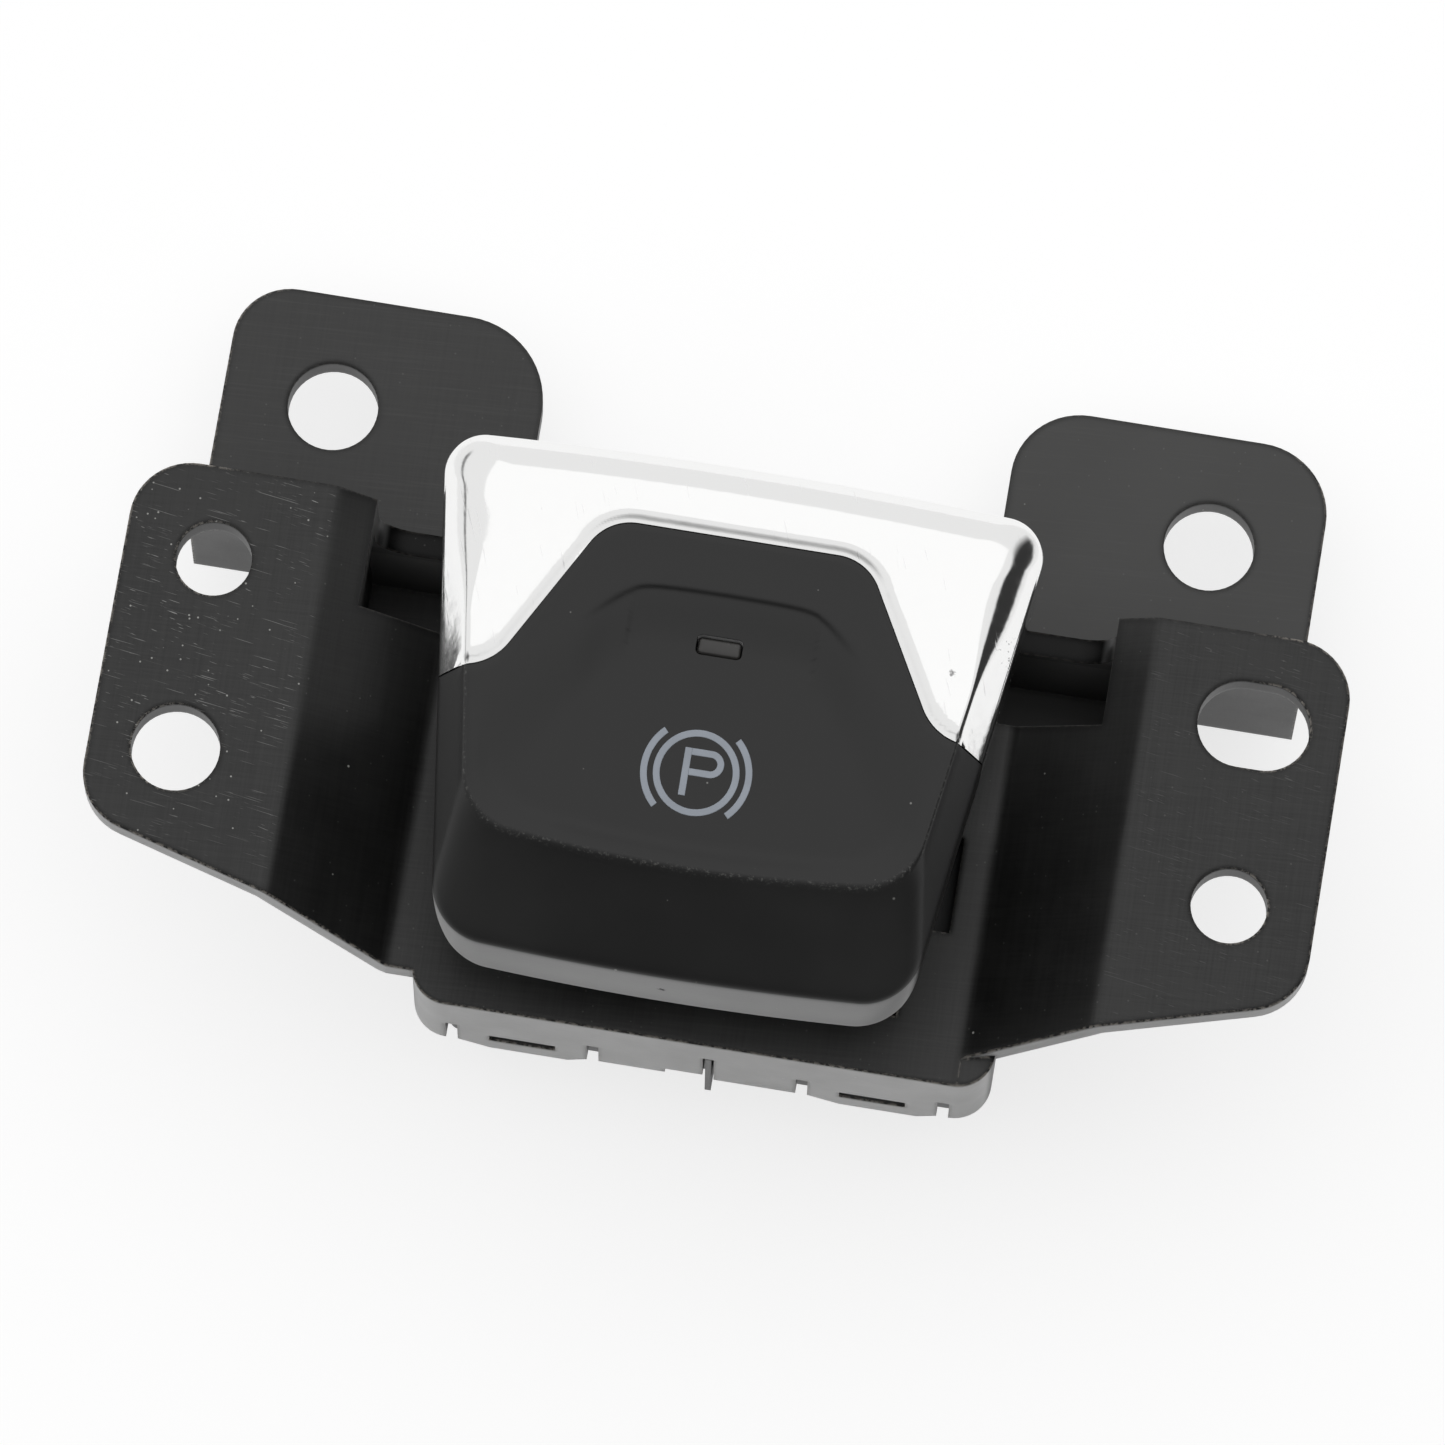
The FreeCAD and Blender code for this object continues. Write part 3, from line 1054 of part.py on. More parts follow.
def knob_form(inset, bottom):
    """The knob's outer form, or the same form shrunk by an inset, standing on a flat bottom."""
    rear = -float(size.knob_rear) + inset
    front = float(size.knob_front) - inset
    half_rear = float(size.knob_half_rear) - inset
    half_front = float(size.knob_half_front) - inset
    bow = float(size.knob_bow)
    least = float(size.least_round)
    round_rear = max(float(size.knob_corner_rear) - inset, least)
    round_front = max(float(size.knob_corner_front) - inset, least)
    edge_prism = plan_prism(rear, front, half_rear, half_front, bow, bow, round_rear, round_front)
    side = float(size.bevel_side)
    crease_prism = plan_prism(rear + float(size.bevel_rear), front - float(size.bevel_front),
                              half_rear - side, half_front - side + float(size.crease_narrow), bow,
                              float(size.crease_bow), max(round_rear - float(size.crease_less), least),
                              max(float(size.crease_corner) - inset, least))
    foot_in = float(size.foot_in)
    foot_prism = plan_prism(rear + foot_in, front, half_rear - foot_in, half_front - float(size.foot_taper),
                            bow, bow, round_rear, round_front)
    top = slice_wire(crease_prism, float(size.knob_top) - inset, float(size.knob_tilt))
    edge = slice_wire(edge_prism, float(size.edge_top) - inset * 0.6, float(size.edge_tilt))
    foot = slice_wire(foot_prism, bottom, 0.0)
    upper = Part.makeLoft([edge, top], True, True)
    lower = Part.makeLoft([foot, edge], True, True)
    return upper.fuse(lower).removeSplitter()


def vee_prism(grow):
    """Plan region of the plated trim: everything behind the pad's stepped rear boundary."""
    rear, knee, tip = float(size.vee_rear), float(size.vee_knee), float(size.vee_tip)
    half_rear, half_knee = float(size.vee_rear_half), float(size.vee_knee_half)
    side = float(size.knob_half_rear) + 4.0
    tip_slope = (tip - knee) / (float(size.vee_tip_half) - half_knee)
    side_y = -(knee + tip_slope * (side - half_knee))
    low = -40.0
    half = [Vector(half_rear, -rear + grow, low), Vector(half_knee, -knee + grow, low),
            Vector(side, side_y + grow, low)]
    mid = -float(size.knob_shift)
    mirror = [Vector(mid - v.x, v.y, v.z) for v in half]
    half = [Vector(mid + v.x, v.y, v.z) for v in half]
    outline = [mirror[2], mirror[1], mirror[0], half[0], half[1], half[2],
               Vector(side, 20, low), Vector(-side, 20, low)]
    prism = Part.Face(Part.makePolygon(outline + outline[:1])).extrude(Vector(0, 0, 80))
    rounds = (float(size.vee_rear_round), float(size.vee_knee_round))
    for radius, spots in zip(rounds, ((half[0], mirror[0]), (half[1], mirror[1]))):
        edges = []
        for edge in prism.Edges:
            a = edge.Vertexes[0].Point
            b = edge.Vertexes[-1].Point
            if abs(a.x - b.x) < 1e-6 and abs(a.y - b.y) < 1e-6:
                if any(abs(a.x - s.x) < 1e-6 and abs(a.y - s.y) < 1e-6 for s in spots):
                    edges.append(edge)
        prism = prism.makeFillet(radius, edges)
    return prism


def pad_height(y):
    """Height of the pad's flat top over the wings at a place along Y."""
    return float(size.knob_top) + float(size.knob_tilt) * y


def dish_tool():
    """Shallow finger dish with a sloping rim, cut into the top of the pad."""
    rear, half = float(size.dish_rear), float(size.dish_rear_half)
    front = float(size.knob_front) - float(size.bevel_front) + float(size.dish_past)
    side_rear = float(size.knob_half_rear) - float(size.bevel_side) - float(size.dish_side_in)
    side_front = float(size.knob_half_front) - float(size.bevel_side) - float(size.dish_side_front)
    cut_long, cut_wide = float(size.dish_cut), float(size.dish_cut_wide)
    shoulder = rear + (side_rear - half)

    def outline(inset, depth):
        plan = [(-half + 0.4 * inset, rear + inset), (half - 0.4 * inset, rear + inset),
                (side_rear - inset, shoulder + 0.4 * inset), (side_front - inset, front - cut_long),
                (side_front - cut_wide - 0.4 * inset, front - inset),
                (-side_front + cut_wide + 0.4 * inset, front - inset), (-side_front + inset, front - cut_long),
                (-side_rear + inset, shoulder + 0.4 * inset)]
        spots = [Vector(x - float(size.knob_shift), -y, pad_height(-y) - depth) for x, y in plan]
        return Part.makePolygon(spots + spots[:1])

    rim, deep = float(size.dish_rim), float(size.dish_deep)
    rise = deep * 2 / 3
    over = outline(-rim * rise / deep, -rise)
    floor = outline(rim, deep)
    return Part.makeLoft([over, floor], True, True)


def solid_feature(label, shape):
    """Keep a form that is drawn by hand as one sub-part."""
    piece = doc.addObject("Part::Feature", label)
    piece.Label = label
    piece.Shape = shape
    lift(piece)
    return piece


def upright_box(x0, x1, y0, y1, z0, z1):
    """A plain box by its limits."""
    return Part.makeBox(x1 - x0, y1 - y0, z1 - z0, Vector(x0, y0, z0))


def make_knob():
    """Plated trim, soft pad, carrier, indicator lens and symbol diffuser."""
    bottom = -float(size.knob_bottom)
    skin, gap, wall = float(size.skin), float(size.seat_gap), float(size.carrier_wall)
    outer = knob_form(0.0, bottom)
    hollow = knob_form(skin, bottom - 1.0)
    shell = outer.cut(hollow)

    trim = shell.common(vee_prism(float(size.seam) / 2)).removeSplitter()
    lamp_x, lamp_y = -float(size.lamp_left), -float(size.lamp_in)
    symbol_y = -float(size.symbol_in)
    half_wide, half_long = float(size.lamp_wide) / 2, float(size.lamp_long) / 2
    lamp_hole = upright_box(lamp_x - half_wide, lamp_x + half_wide, lamp_y - half_long,
                            lamp_y + half_long, -20, 40)
    pad_shape = shell.cut(vee_prism(-float(size.seam) / 2)).cut(dish_tool()).cut(lamp_hole)

    # Carrier: a second shell with bosses on the hinge, two feet and a light shaft
    carrier_out = knob_form(skin + gap, bottom + float(size.side_gap))
    carrier_in = knob_form(skin + gap + wall, bottom - 1.0)
    carrier = carrier_out.cut(carrier_in)
    boss_out = float(size.ear_in) - float(size.side_gap)
    boss_in = boss_out - float(size.boss_thick)
    axis_y, axis_z, half = float(hinge_y), float(hinge_z), float(size.ear_half)
    inside = knob_form(skin + gap + 0.5, bottom - 20.0)
    added = []
    for side in (-1, 1):
        x0, x1 = sorted((side * boss_in, side * boss_out))
        added.append(upright_box(x0, x1, axis_y - half, axis_y + half, axis_z, 20))
        added.append(Part.makeCylinder(half, x1 - x0, Vector(x0, axis_y, axis_z), Vector(1, 0, 0)))
    foot_r = float(size.foot_round)
    foot_tip = -float(size.plunger_top) + float(size.side_gap)
    web, web_low, spine_half = float(size.foot_web) / 2, float(size.web_low), float(size.spine) / 2
    for x, y in plunger_spots():
        spot = Vector(float(x), float(y), foot_tip + foot_r)
        added.append(Part.makeCylinder(foot_r, 30, spot))
        added.append(Part.makeSphere(foot_r, spot))
        along = upright_box(min(0, float(x)), max(0, float(x)), float(y) - web, float(y) + web, web_low, 30)
        added.append(along)
    spine = upright_box(-spine_half, spine_half, -float(size.front_plunger_in), -float(size.rear_plunger_in),
                        float(size.spine_low), 30)
    added.append(spine)
    for piece in added:
        carrier = carrier.fuse(piece.common(inside))
    pin_hole = float(size.hinge_pin) / 2 + float(size.hinge_play)
    carrier = carrier.cut(Part.makeCylinder(pin_hole, 80, Vector(-40, axis_y, axis_z), Vector(1, 0, 0)))
    shaft_wide = half_wide + float(size.lens_shaft_gap)
    shaft_long = half_long + float(size.lens_shaft_gap)
    lamp_shaft = upright_box(lamp_x - shaft_wide, lamp_x + shaft_wide, lamp_y - shaft_long,
                             lamp_y + shaft_long, -20, 40)
    radius = float(size.symbol_size) + float(size.shaft_over)
    symbol_shaft = Part.makeCylinder(radius, 60, Vector(0, symbol_y, -20))
    carrier = carrier.cut(lamp_shaft).cut(symbol_shaft).removeSplitter()

    # Indicator lens: fills the pad's window, with a flange under the carrier's roof
    lens_top = pad_height(lamp_y) - float(size.dish_deep) + float(size.lens_proud)
    under = pad_height(lamp_y) - skin - gap - wall - float(size.lens_down)
    head_wide, head_long = half_wide - float(size.lens_gap), half_long - float(size.lens_gap)
    head = upright_box(lamp_x - head_wide, lamp_x + head_wide, lamp_y - head_long, lamp_y + head_long,
                       under, lens_top)
    wide, long = half_wide + float(size.lens_flange_side), half_long + float(size.lens_flange_end)
    flange = upright_box(lamp_x - wide, lamp_x + wide, lamp_y - long, lamp_y + long,
                         under - float(size.lens_flange), under + 0.1)
    lens = head.fuse(flange).removeSplitter()

    # Symbol diffuser: a disc in the carrier's shaft, square to the tilted pad
    upward = Vector(0, -float(size.knob_tilt), 1).normalize()
    seat = Vector(0, symbol_y, pad_height(symbol_y) - skin - gap - float(size.diffuser_down))
    disc = Part.makeCylinder(radius - float(size.diffuser_gap), float(size.diffuser_thick), seat, upward)
    return [solid_feature("chrome_trim", trim), solid_feature("knob_pad", pad_shape),
            solid_feature("knob_carrier", carrier), solid_feature("indicator_lens", lens),
            solid_feature("symbol_diffuser", disc)]


def build():
    """Make every sub-part, check the document and write one file for each."""
    pieces = [make_bracket(), make_housing(), make_base_cover(), make_board(), make_terminals(), make_screws()]
    pieces += make_detectors() + make_plungers() + make_springs() + make_board_parts()
    pieces += [make_light_guide(), make_hinge_pins()] + make_knob()
    doc.recompute()
    for item in doc.Objects:
        if "Invalid" in item.State or "Error" in item.State:
            raise RuntimeError("%s failed: %s" % (item.Label, item.State))
    for piece in pieces:
        shape = piece.Shape
        if shape.isNull() or not shape.isValid() or not shape.Solids:
            raise RuntimeError("%s has no valid solid" % piece.Label)
    for piece in pieces:
        piece.Shape.exportStep("parts/%s.step" % piece.Label)
        bounds = piece.Shape.BoundBox
        print("%-18s %2d solid(s) %9.1f mm3  x %6.1f %6.1f  y %6.1f %6.1f  z %6.1f %6.1f" % (
            piece.Label, len(piece.Shape.Solids), piece.Shape.Volume, bounds.XMin, bounds.XMax,
            bounds.YMin, bounds.YMax, bounds.ZMin, bounds.ZMax))


build()
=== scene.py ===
"""Looks of the parking brake switch: materials, finer knob skins, symbol, wear, studio."""

import math

import bmesh
import bpy
import numpy as np
from mathutils import Matrix, Vector


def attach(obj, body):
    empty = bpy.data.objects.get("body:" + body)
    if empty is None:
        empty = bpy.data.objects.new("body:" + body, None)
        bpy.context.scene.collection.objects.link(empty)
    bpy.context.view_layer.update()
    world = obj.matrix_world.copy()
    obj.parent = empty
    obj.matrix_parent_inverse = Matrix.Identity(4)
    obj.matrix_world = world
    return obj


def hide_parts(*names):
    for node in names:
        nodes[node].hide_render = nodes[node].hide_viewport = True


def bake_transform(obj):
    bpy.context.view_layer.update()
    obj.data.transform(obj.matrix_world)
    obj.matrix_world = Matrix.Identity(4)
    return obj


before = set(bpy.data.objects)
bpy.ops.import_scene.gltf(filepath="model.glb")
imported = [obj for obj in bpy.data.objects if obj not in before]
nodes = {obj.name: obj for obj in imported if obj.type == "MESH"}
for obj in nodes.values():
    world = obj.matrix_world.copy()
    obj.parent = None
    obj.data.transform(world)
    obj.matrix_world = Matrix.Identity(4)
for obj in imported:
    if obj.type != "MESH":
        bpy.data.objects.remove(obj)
MM = 0.001
# The drawing's origin in the frame, in millimetres
SHIFT_Y, SHIFT_Z = 8.6, 29.4
# Depth of the finest bumps, in metres
FINE_BUMP = 0.00002
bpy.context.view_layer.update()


def at(x, f, z):
    """A point of the drawing (right, forward of the wings' rear edge, over the wings) in metres."""
    return Vector((x * MM, (SHIFT_Y - f) * MM, (z + SHIFT_Z) * MM))


# Node material helpers

class Tree:
    """Builds one procedural material."""

    def __init__(self, name):
        self.mat = bpy.data.materials.new(name)
        self.mat.use_nodes = True
        self.nodes = self.mat.node_tree.nodes
        self.links = self.mat.node_tree.links
        self.bsdf = self.nodes["Principled BSDF"]
        self.coord = self.nodes.new("ShaderNodeTexCoord").outputs["Object"]

    def link(self, a, b):
        self.links.new(a, b)

    def value(self, socket, v):
        if isinstance(v, bpy.types.NodeSocket):
            self.link(v, socket)
        else:
            socket.default_value = v

    def math(self, op, a, b=0.0):
        n = self.nodes.new("ShaderNodeMath")
        n.operation = op
        self.value(n.inputs[0], a)
        self.value(n.inputs[1], b)
        return n.outputs[0]

    def grain(self, sx, sy, sz, turn=0.0):
        """Texture space whose features measure sx by sy by sz metres, turned about the vertical."""
        n = self.nodes.new("ShaderNodeMapping")
        n.vector_type = "TEXTURE"
        n.inputs["Scale"].default_value = (sx, sy, sz)
        n.inputs["Rotation"].default_value = (0, 0, turn)
        self.link(self.coord, n.inputs["Vector"])
        return n.outputs[0]

    def noise(self, scale, detail=4.0, rough=0.55, vector=None):
        n = self.nodes.new("ShaderNodeTexNoise")
        n.inputs["Scale"].default_value = scale
        n.inputs["Detail"].default_value = detail
        n.inputs["Roughness"].default_value = rough
        self.link(vector or self.coord, n.inputs["Vector"])
        return n.outputs["Fac"]

    def dots(self, cell, radius, keep):
        """Sparse specks: a share of the cells, each about cell metres wide, holds one."""
        n = self.nodes.new("ShaderNodeTexVoronoi")
        n.inputs["Scale"].default_value = 1.0 / cell
        self.link(self.coord, n.inputs["Vector"])
        pick = self.nodes.new("ShaderNodeSeparateColor")
        self.link(n.outputs["Color"], pick.inputs[0])
        near = self.ramp(n.outputs["Distance"], radius / cell, 0.5 * radius / cell)
        return self.math("MULTIPLY", near, self.math("LESS_THAN", pick.outputs[0], keep))

    def times(self, *masks):
        """Product of masks."""
        out = masks[0]
        for m in masks[1:]:
            out = self.math("MULTIPLY", out, m)
        return out

    def attribute(self, name):
        n = self.nodes.new("ShaderNodeAttribute")
        n.attribute_name = name
        return n.outputs["Fac"]

    def ramp(self, fac, lo, hi, a=0.0, b=1.0):
        n = self.nodes.new("ShaderNodeMapRange")
        n.interpolation_type = "SMOOTHSTEP"
        self.value(n.inputs["Value"], fac)
        n.inputs["From Min"].default_value = lo
        n.inputs["From Max"].default_value = hi
        n.inputs["To Min"].default_value = a
        n.inputs["To Max"].default_value = b
        return n.outputs["Result"]

    def mix(self, fac, a, b):
        n = self.nodes.new("ShaderNodeMix")
        n.data_type = "RGBA"
        self.value(n.inputs["Factor"], fac)
        for socket, v in ((n.inputs[6], a), (n.inputs[7], b)):
            if isinstance(v, bpy.types.NodeSocket):
                self.link(v, socket)
            else:
                socket.default_value = (*v, 1.0)
        return n.outputs[2]

    def bump(self, height, strength, distance, normal=None):
        n = self.nodes.new("ShaderNodeBump")
        n.inputs["Strength"].default_value = strength
        n.inputs["Distance"].default_value = distance
        self.link(height, n.inputs["Height"])
        if normal:
            self.link(normal, n.inputs["Normal"])
        return n.outputs["Normal"]

    def soft_edges(self, radius):
        n = self.nodes.new("ShaderNodeBevel")
        n.samples = 6
        self.value(n.inputs["Radius"], radius)
        return n.outputs["Normal"]

    def edge_mask(self, radius, lo, hi):
        """Bright where a rounded normal leaves the flat one: along the edges."""
        geo = self.nodes.new("ShaderNodeNewGeometry")
        dot = self.nodes.new("ShaderNodeVectorMath")
        dot.operation = "DOT_PRODUCT"
        self.link(self.soft_edges(radius), dot.inputs[0])
        self.link(geo.outputs["Normal"], dot.inputs[1])
        return self.ramp(dot.outputs["Value"], hi, lo)

    def up_mask(self, lo, hi, soft=0.0):
        """How far a face looks up; soft widens the change at a fold."""
        if soft:
            normal = self.soft_edges(soft)
        else:
            normal = self.nodes.new("ShaderNodeNewGeometry").outputs["Normal"]
        sep = self.nodes.new("ShaderNodeSeparateXYZ")
        self.link(normal, sep.inputs[0])
        return self.ramp(sep.outputs["Z"], lo, hi)

    def upright_mask(self):
        """Faces that stand upright."""
        return self.up_mask(0.35, 0.15)

    def front_mask(self):
        """Faces that look to the front."""
        sep = self.nodes.new("ShaderNodeSeparateXYZ")
        self.link(self.nodes.new("ShaderNodeNewGeometry").outputs["Normal"], sep.inputs[0])
        return self.ramp(sep.outputs["Y"], -0.2, -0.55)

    def mark(self, place, radius, ragged):
        """A mark with a ragged outline about a place (right, forward, up in drawing mm)."""
        gap = self.nodes.new("ShaderNodeVectorMath")
        gap.operation = "DISTANCE"
        self.link(self.coord, gap.inputs[0])
        gap.inputs[1].default_value = at(*place)
        wander = self.math("MULTIPLY", self.noise(3000.0, 3.0, 0.7), ragged)
        away = self.math("ADD", gap.outputs["Value"], wander)
        return self.ramp(away, radius, 0.7 * radius)

    def axis(self, which):
        sep = self.nodes.new("ShaderNodeSeparateXYZ")
        self.link(self.coord, sep.inputs[0])
        return sep.outputs[which]

    def set(self, **named):
        for name, v in named.items():
            self.value(self.bsdf.inputs[name.replace("_", " ")], v)
        return self.mat


def front_painted_sheen(t, sheen):
    """Painted sheen: a sheen layer only on upright faces that look to the front, standing in for light from
    the front.
    """
    t.link(t.times(t.upright_mask(), t.front_mask(), sheen), t.bsdf.inputs["Sheen Weight"])
    t.set(Sheen_Roughness=0.45)


def moulded(name, dark, light, rough):
    """Black moulding: fine grain, faint clouding, softly rounded edges with a little wear."""
    soft = 0.00025
    t = Tree(name)
    cloud = t.noise(60.0, 3.0)
    fine = t.noise(1800.0, 3.0, 0.6)
    wear = t.times(t.edge_mask(soft, 0.75, 0.97), t.ramp(t.noise(900.0, 2.0), 0.45, 0.7))
    base = t.mix(t.ramp(cloud, 0.35, 0.7), dark, light)
    base = t.mix(t.math("MULTIPLY", wear, 0.35), base, (0.3, 0.3, 0.3))
    roughness = t.math("ADD", t.ramp(cloud, 0.3, 0.7, -0.04, 0.05), rough)
    t.link(base, t.bsdf.inputs["Base Color"])
    t.link(roughness, t.bsdf.inputs["Roughness"])
    t.link(t.bump(fine, 0.25, FINE_BUMP, t.soft_edges(soft)), t.bsdf.inputs["Normal"])
    # Painted sheen on the faces that look to the front
    front_painted_sheen(t, 0.4)
    return t.mat


def bracket_material():
    """Worn black moulding: brushed and scuffed flats, plain dark slopes, ragged pale edges."""
    t = Tree("bracket_black")
    x, y, z = t.axis(0), t.axis(1), t.axis(2)
    flat = t.up_mask(0.93, 0.99)
    slope = t.times(t.up_mask(0.3, 0.4), t.up_mask(0.97, 0.66, 0.0013))
    low = t.times(t.ramp(z, 0.024, 0.020), flat)
    wide = t.math("ABSOLUTE", x)
    open_air = t.math("MAXIMUM", t.ramp(wide, 0.031, 0.034), t.ramp(y, -0.006, -0.012))
    # Painted shade: the rounded top of the wall behind the deck
    wall_top_painted_shade = t.times(t.ramp(z, 0.0185, 0.019), t.ramp(z, 0.0206, 0.0201), t.ramp(y, 0.004, 0.005),
                       t.ramp(wide, 0.0335, 0.0325))
    wing_left = t.times(t.ramp(x, -0.0275, -0.031), t.ramp(z, 0.026, 0.028), flat)
    wing_right = t.times(t.ramp(x, 0.0275, 0.031), t.ramp(z, 0.026, 0.028), flat)
    along = t.noise(1.0, 3.0, 0.6, t.grain(0.00022, 0.009, 0.002, 0.02))
    across = t.noise(1.0, 3.0, 0.6, t.grain(0.007, 0.00018, 0.002, 0.06))
    brushed = t.math("ADD", t.math("MULTIPLY", along, 0.6), t.math("MULTIPLY", across, 0.6))
    cloud = t.noise(90.0, 4.0)
    shade_of = t.math("ADD", t.math("MULTIPLY", brushed, 0.55), t.math("MULTIPLY", cloud, 0.45))
    base = t.mix(t.ramp(shade_of, 0.36, 0.68), (0.0055, 0.0055, 0.0055), (0.021, 0.021, 0.0205))
    base = t.mix(t.times(low, t.ramp(x, -0.01, 0.03, 0.4, 1.0)), base, (0.05, 0.05, 0.049))
    base = t.mix(t.times(low, t.ramp(across, 0.52, 0.75), 0.12), base, (0.1, 0.1, 0.098))
    # Plain unbrushed slopes, darker towards the front: painted shade over their front part
    plain = t.mix(t.ramp(y, -0.012, 0.006), (0.0055, 0.0055, 0.0055), (0.011, 0.011, 0.011))
    base = t.mix(slope, base, plain)
    # Painted shade: the wall top is darker
    base = t.mix(wall_top_painted_shade, base, (0.0045, 0.0045, 0.0045))
    upright = t.upright_mask()
    # Painted light: the upright wall of the channel behind the deck is paler, in place of light that does not
    # reach it
    channel_wall_painted_light = t.times(upright, t.ramp(wide, 0.0335, 0.0325), t.ramp(y, -0.001, 0.0),
                           t.ramp(y, 0.0085, 0.0075))
    base = t.mix(channel_wall_painted_light, base, (0.05, 0.05, 0.049))
    # Painted light: the front skirt is paler, as if lit from the front
    skirt_painted_light = t.times(upright, t.front_mask(), t.ramp(y, -0.027, -0.029))
    base = t.mix(skirt_painted_light, base, (0.19, 0.19, 0.186))
    # Short pale scratches, many on the left wing and few on the right one
    scratch = t.ramp(t.noise(1.0, 1.0, 0.5, t.grain(0.0012, 0.00009, 0.003, -0.2)), 0.69, 0.75)
    hair = t.ramp(t.noise(1.0, 1.0, 0.5, t.grain(0.0034, 0.00009, 0.003, -0.14)), 0.69, 0.75)
    patch = t.ramp(t.noise(230.0, 2.0), 0.42, 0.6)
    rear = t.ramp(y, -0.028, -0.008, 0.35, 1.0)
    marks = t.math("MAXIMUM", t.times(scratch, patch), t.math("MULTIPLY", hair, 0.6))
    where = t.math("ADD", t.times(wing_left, rear), t.math("MULTIPLY", wing_right, 0.22))
    base = t.mix(t.math("MULTIPLY", t.times(marks, where), 0.6), base, (0.45, 0.45, 0.44))
    # Specks of dust and chips
    specks = t.math("MAXIMUM", t.times(t.dots(0.0008, 0.0001, 0.4), t.math("ADD", wing_left, 0.12)),
                    t.dots(0.0029, 0.00013, 0.22))
    base = t.mix(t.math("MULTIPLY", specks, 0.8), base, (0.42, 0.42, 0.4))
    # Torn pale flash along the edges
    ragged = t.ramp(t.noise(2600.0, 3.0, 0.7), 0.42, 0.58)
    edge = t.times(t.edge_mask(0.0005, 0.78, 0.93), ragged)
    outer = t.math("MAXIMUM", t.ramp(y, -0.017, -0.02), t.ramp(wide, 0.0405, 0.0435))
    edge = t.times(edge, t.math("ADD", t.math("MULTIPLY", outer, 0.85), 0.08))
    base = t.mix(edge, base, (0.5, 0.46, 0.41))
    roughness = t.math("ADD", t.ramp(cloud, 0.3, 0.7, 0.4, 0.48), t.math("MULTIPLY", slope, -0.06))
    height = t.math("ADD", t.math("MULTIPLY", brushed, 1.2), t.noise(1900.0, 2.0))
    t.link(base, t.bsdf.inputs["Base Color"])
    t.link(roughness, t.bsdf.inputs["Roughness"])
    fold_round = t.ramp(open_air, 0.0, 1.0, 0.00012, 0.0007)
    t.link(t.bump(height, 0.3, FINE_BUMP, t.soft_edges(fold_round)), t.bsdf.inputs["Normal"])
    # Duller reflection on the slopes, and on the wall top as painted shade
    dull = t.math("ADD", t.math("MULTIPLY", slope, 0.22), t.math("MULTIPLY", wall_top_painted_shade, 0.3))
    t.link(t.math("SUBTRACT", 0.5, dull), t.bsdf.inputs["Specular IOR Level"])
    # Painted sheen on the outer faces that look to the front, mottled
    outer_front = t.ramp(y, -0.017, -0.0195)
    front_painted_sheen(t, t.times(outer_front, t.ramp(t.noise(260.0, 4.0), 0.3, 0.7, 0.82, 1.0)))
    return t.mat


def pad_material():
    """Satin pad with a worn crease, fine grain and dust."""
    t = Tree("pad_black")
    cloud = t.noise(70.0, 3.0)
    wear = t.attribute("wear")
    worn = t.times(wear, wear, t.ramp(t.noise(3600.0, 3.0, 0.7), 0.52, 0.68))
    dust = t.math("MAXIMUM", t.dots(0.0016, 0.00011, 0.25), t.dots(0.0052, 0.00018, 0.25))
    base = t.mix(t.ramp(cloud, 0.35, 0.7), (0.008, 0.008, 0.008), (0.0118, 0.0118, 0.0115))
    base = t.mix(t.math("MULTIPLY", worn, 0.4), base, (0.22, 0.22, 0.21))
    base = t.mix(t.math("MULTIPLY", dust, 0.6), base, (0.4, 0.4, 0.38))
    chip = t.mark((-0.81, 37.1, 3.0), 0.0008, 0.0007)
    base = t.mix(chip, base, (0.001, 0.001, 0.001))
    t.link(t.math("SUBTRACT", 0.5, t.math("MULTIPLY", chip, 0.5)), t.bsdf.inputs["Specular IOR Level"])
    t.link(base, t.bsdf.inputs["Base Color"])
    t.link(t.ramp(cloud, 0.3, 0.7, 0.4, 0.47), t.bsdf.inputs["Roughness"])
    t.link(t.bump(t.noise(2400.0, 3.0, 0.65), 0.3, FINE_BUMP, t.soft_edges(0.00012)), t.bsdf.inputs["Normal"])
    # Painted sheen on the faces that look to the front, none at the chip
    front_painted_sheen(t, t.math("SUBTRACT", 0.75, t.math("MULTIPLY", chip, 0.75)))
    return t.mat


def plated_material():
    """Glossy plating: slight waviness, fine handling scratches and small pits."""
    t = Tree("plated")
    waves = t.noise(420.0, 2.0)
    fine = t.noise(1.0, 4.0, 0.7, t.grain(0.0008, 0.0008, 0.0008))
    pits = t.math("MAXIMUM", t.mark((17.82, 10.99, 13.6), 0.0007, 0.0008),
                  t.mark((21.92, 12.6, 12.3), 0.0005, 0.0006))
    handled = t.math("MAXIMUM", t.mark((23.0, 8.5, 12.9), 0.0028, 0.001),
                     t.mark((24.3, 10.9, 12.0), 0.0028, 0.001))
    pits = t.math("MAXIMUM", pits, t.times(handled, t.ramp(t.noise(2200.0, 2.0), 0.62, 0.68)))
    hairs = t.ramp(t.noise(1.0, 1.0, 0.5, t.grain(0.0002, 0.004, 0.002, 0.35)), 0.7, 0.76)
    t.set(Metallic=1.0)
    base = t.mix(t.math("MULTIPLY", pits, 0.8), (0.9, 0.9, 0.895), (0.12, 0.12, 0.12))
    t.link(base, t.bsdf.inputs["Base Color"])
    t.link(t.math("ADD", t.ramp(fine, 0.3, 0.7, 0.07, 0.13), t.math("MULTIPLY", hairs, 0.2)),
           t.bsdf.inputs["Roughness"])
    rough = t.bump(t.math("ADD", fine, t.math("MULTIPLY", hairs, 0.5)), 0.12, 0.00003)
    t.link(t.bump(waves, 0.25, 0.00006, rough), t.bsdf.inputs["Normal"])
    return t.mat


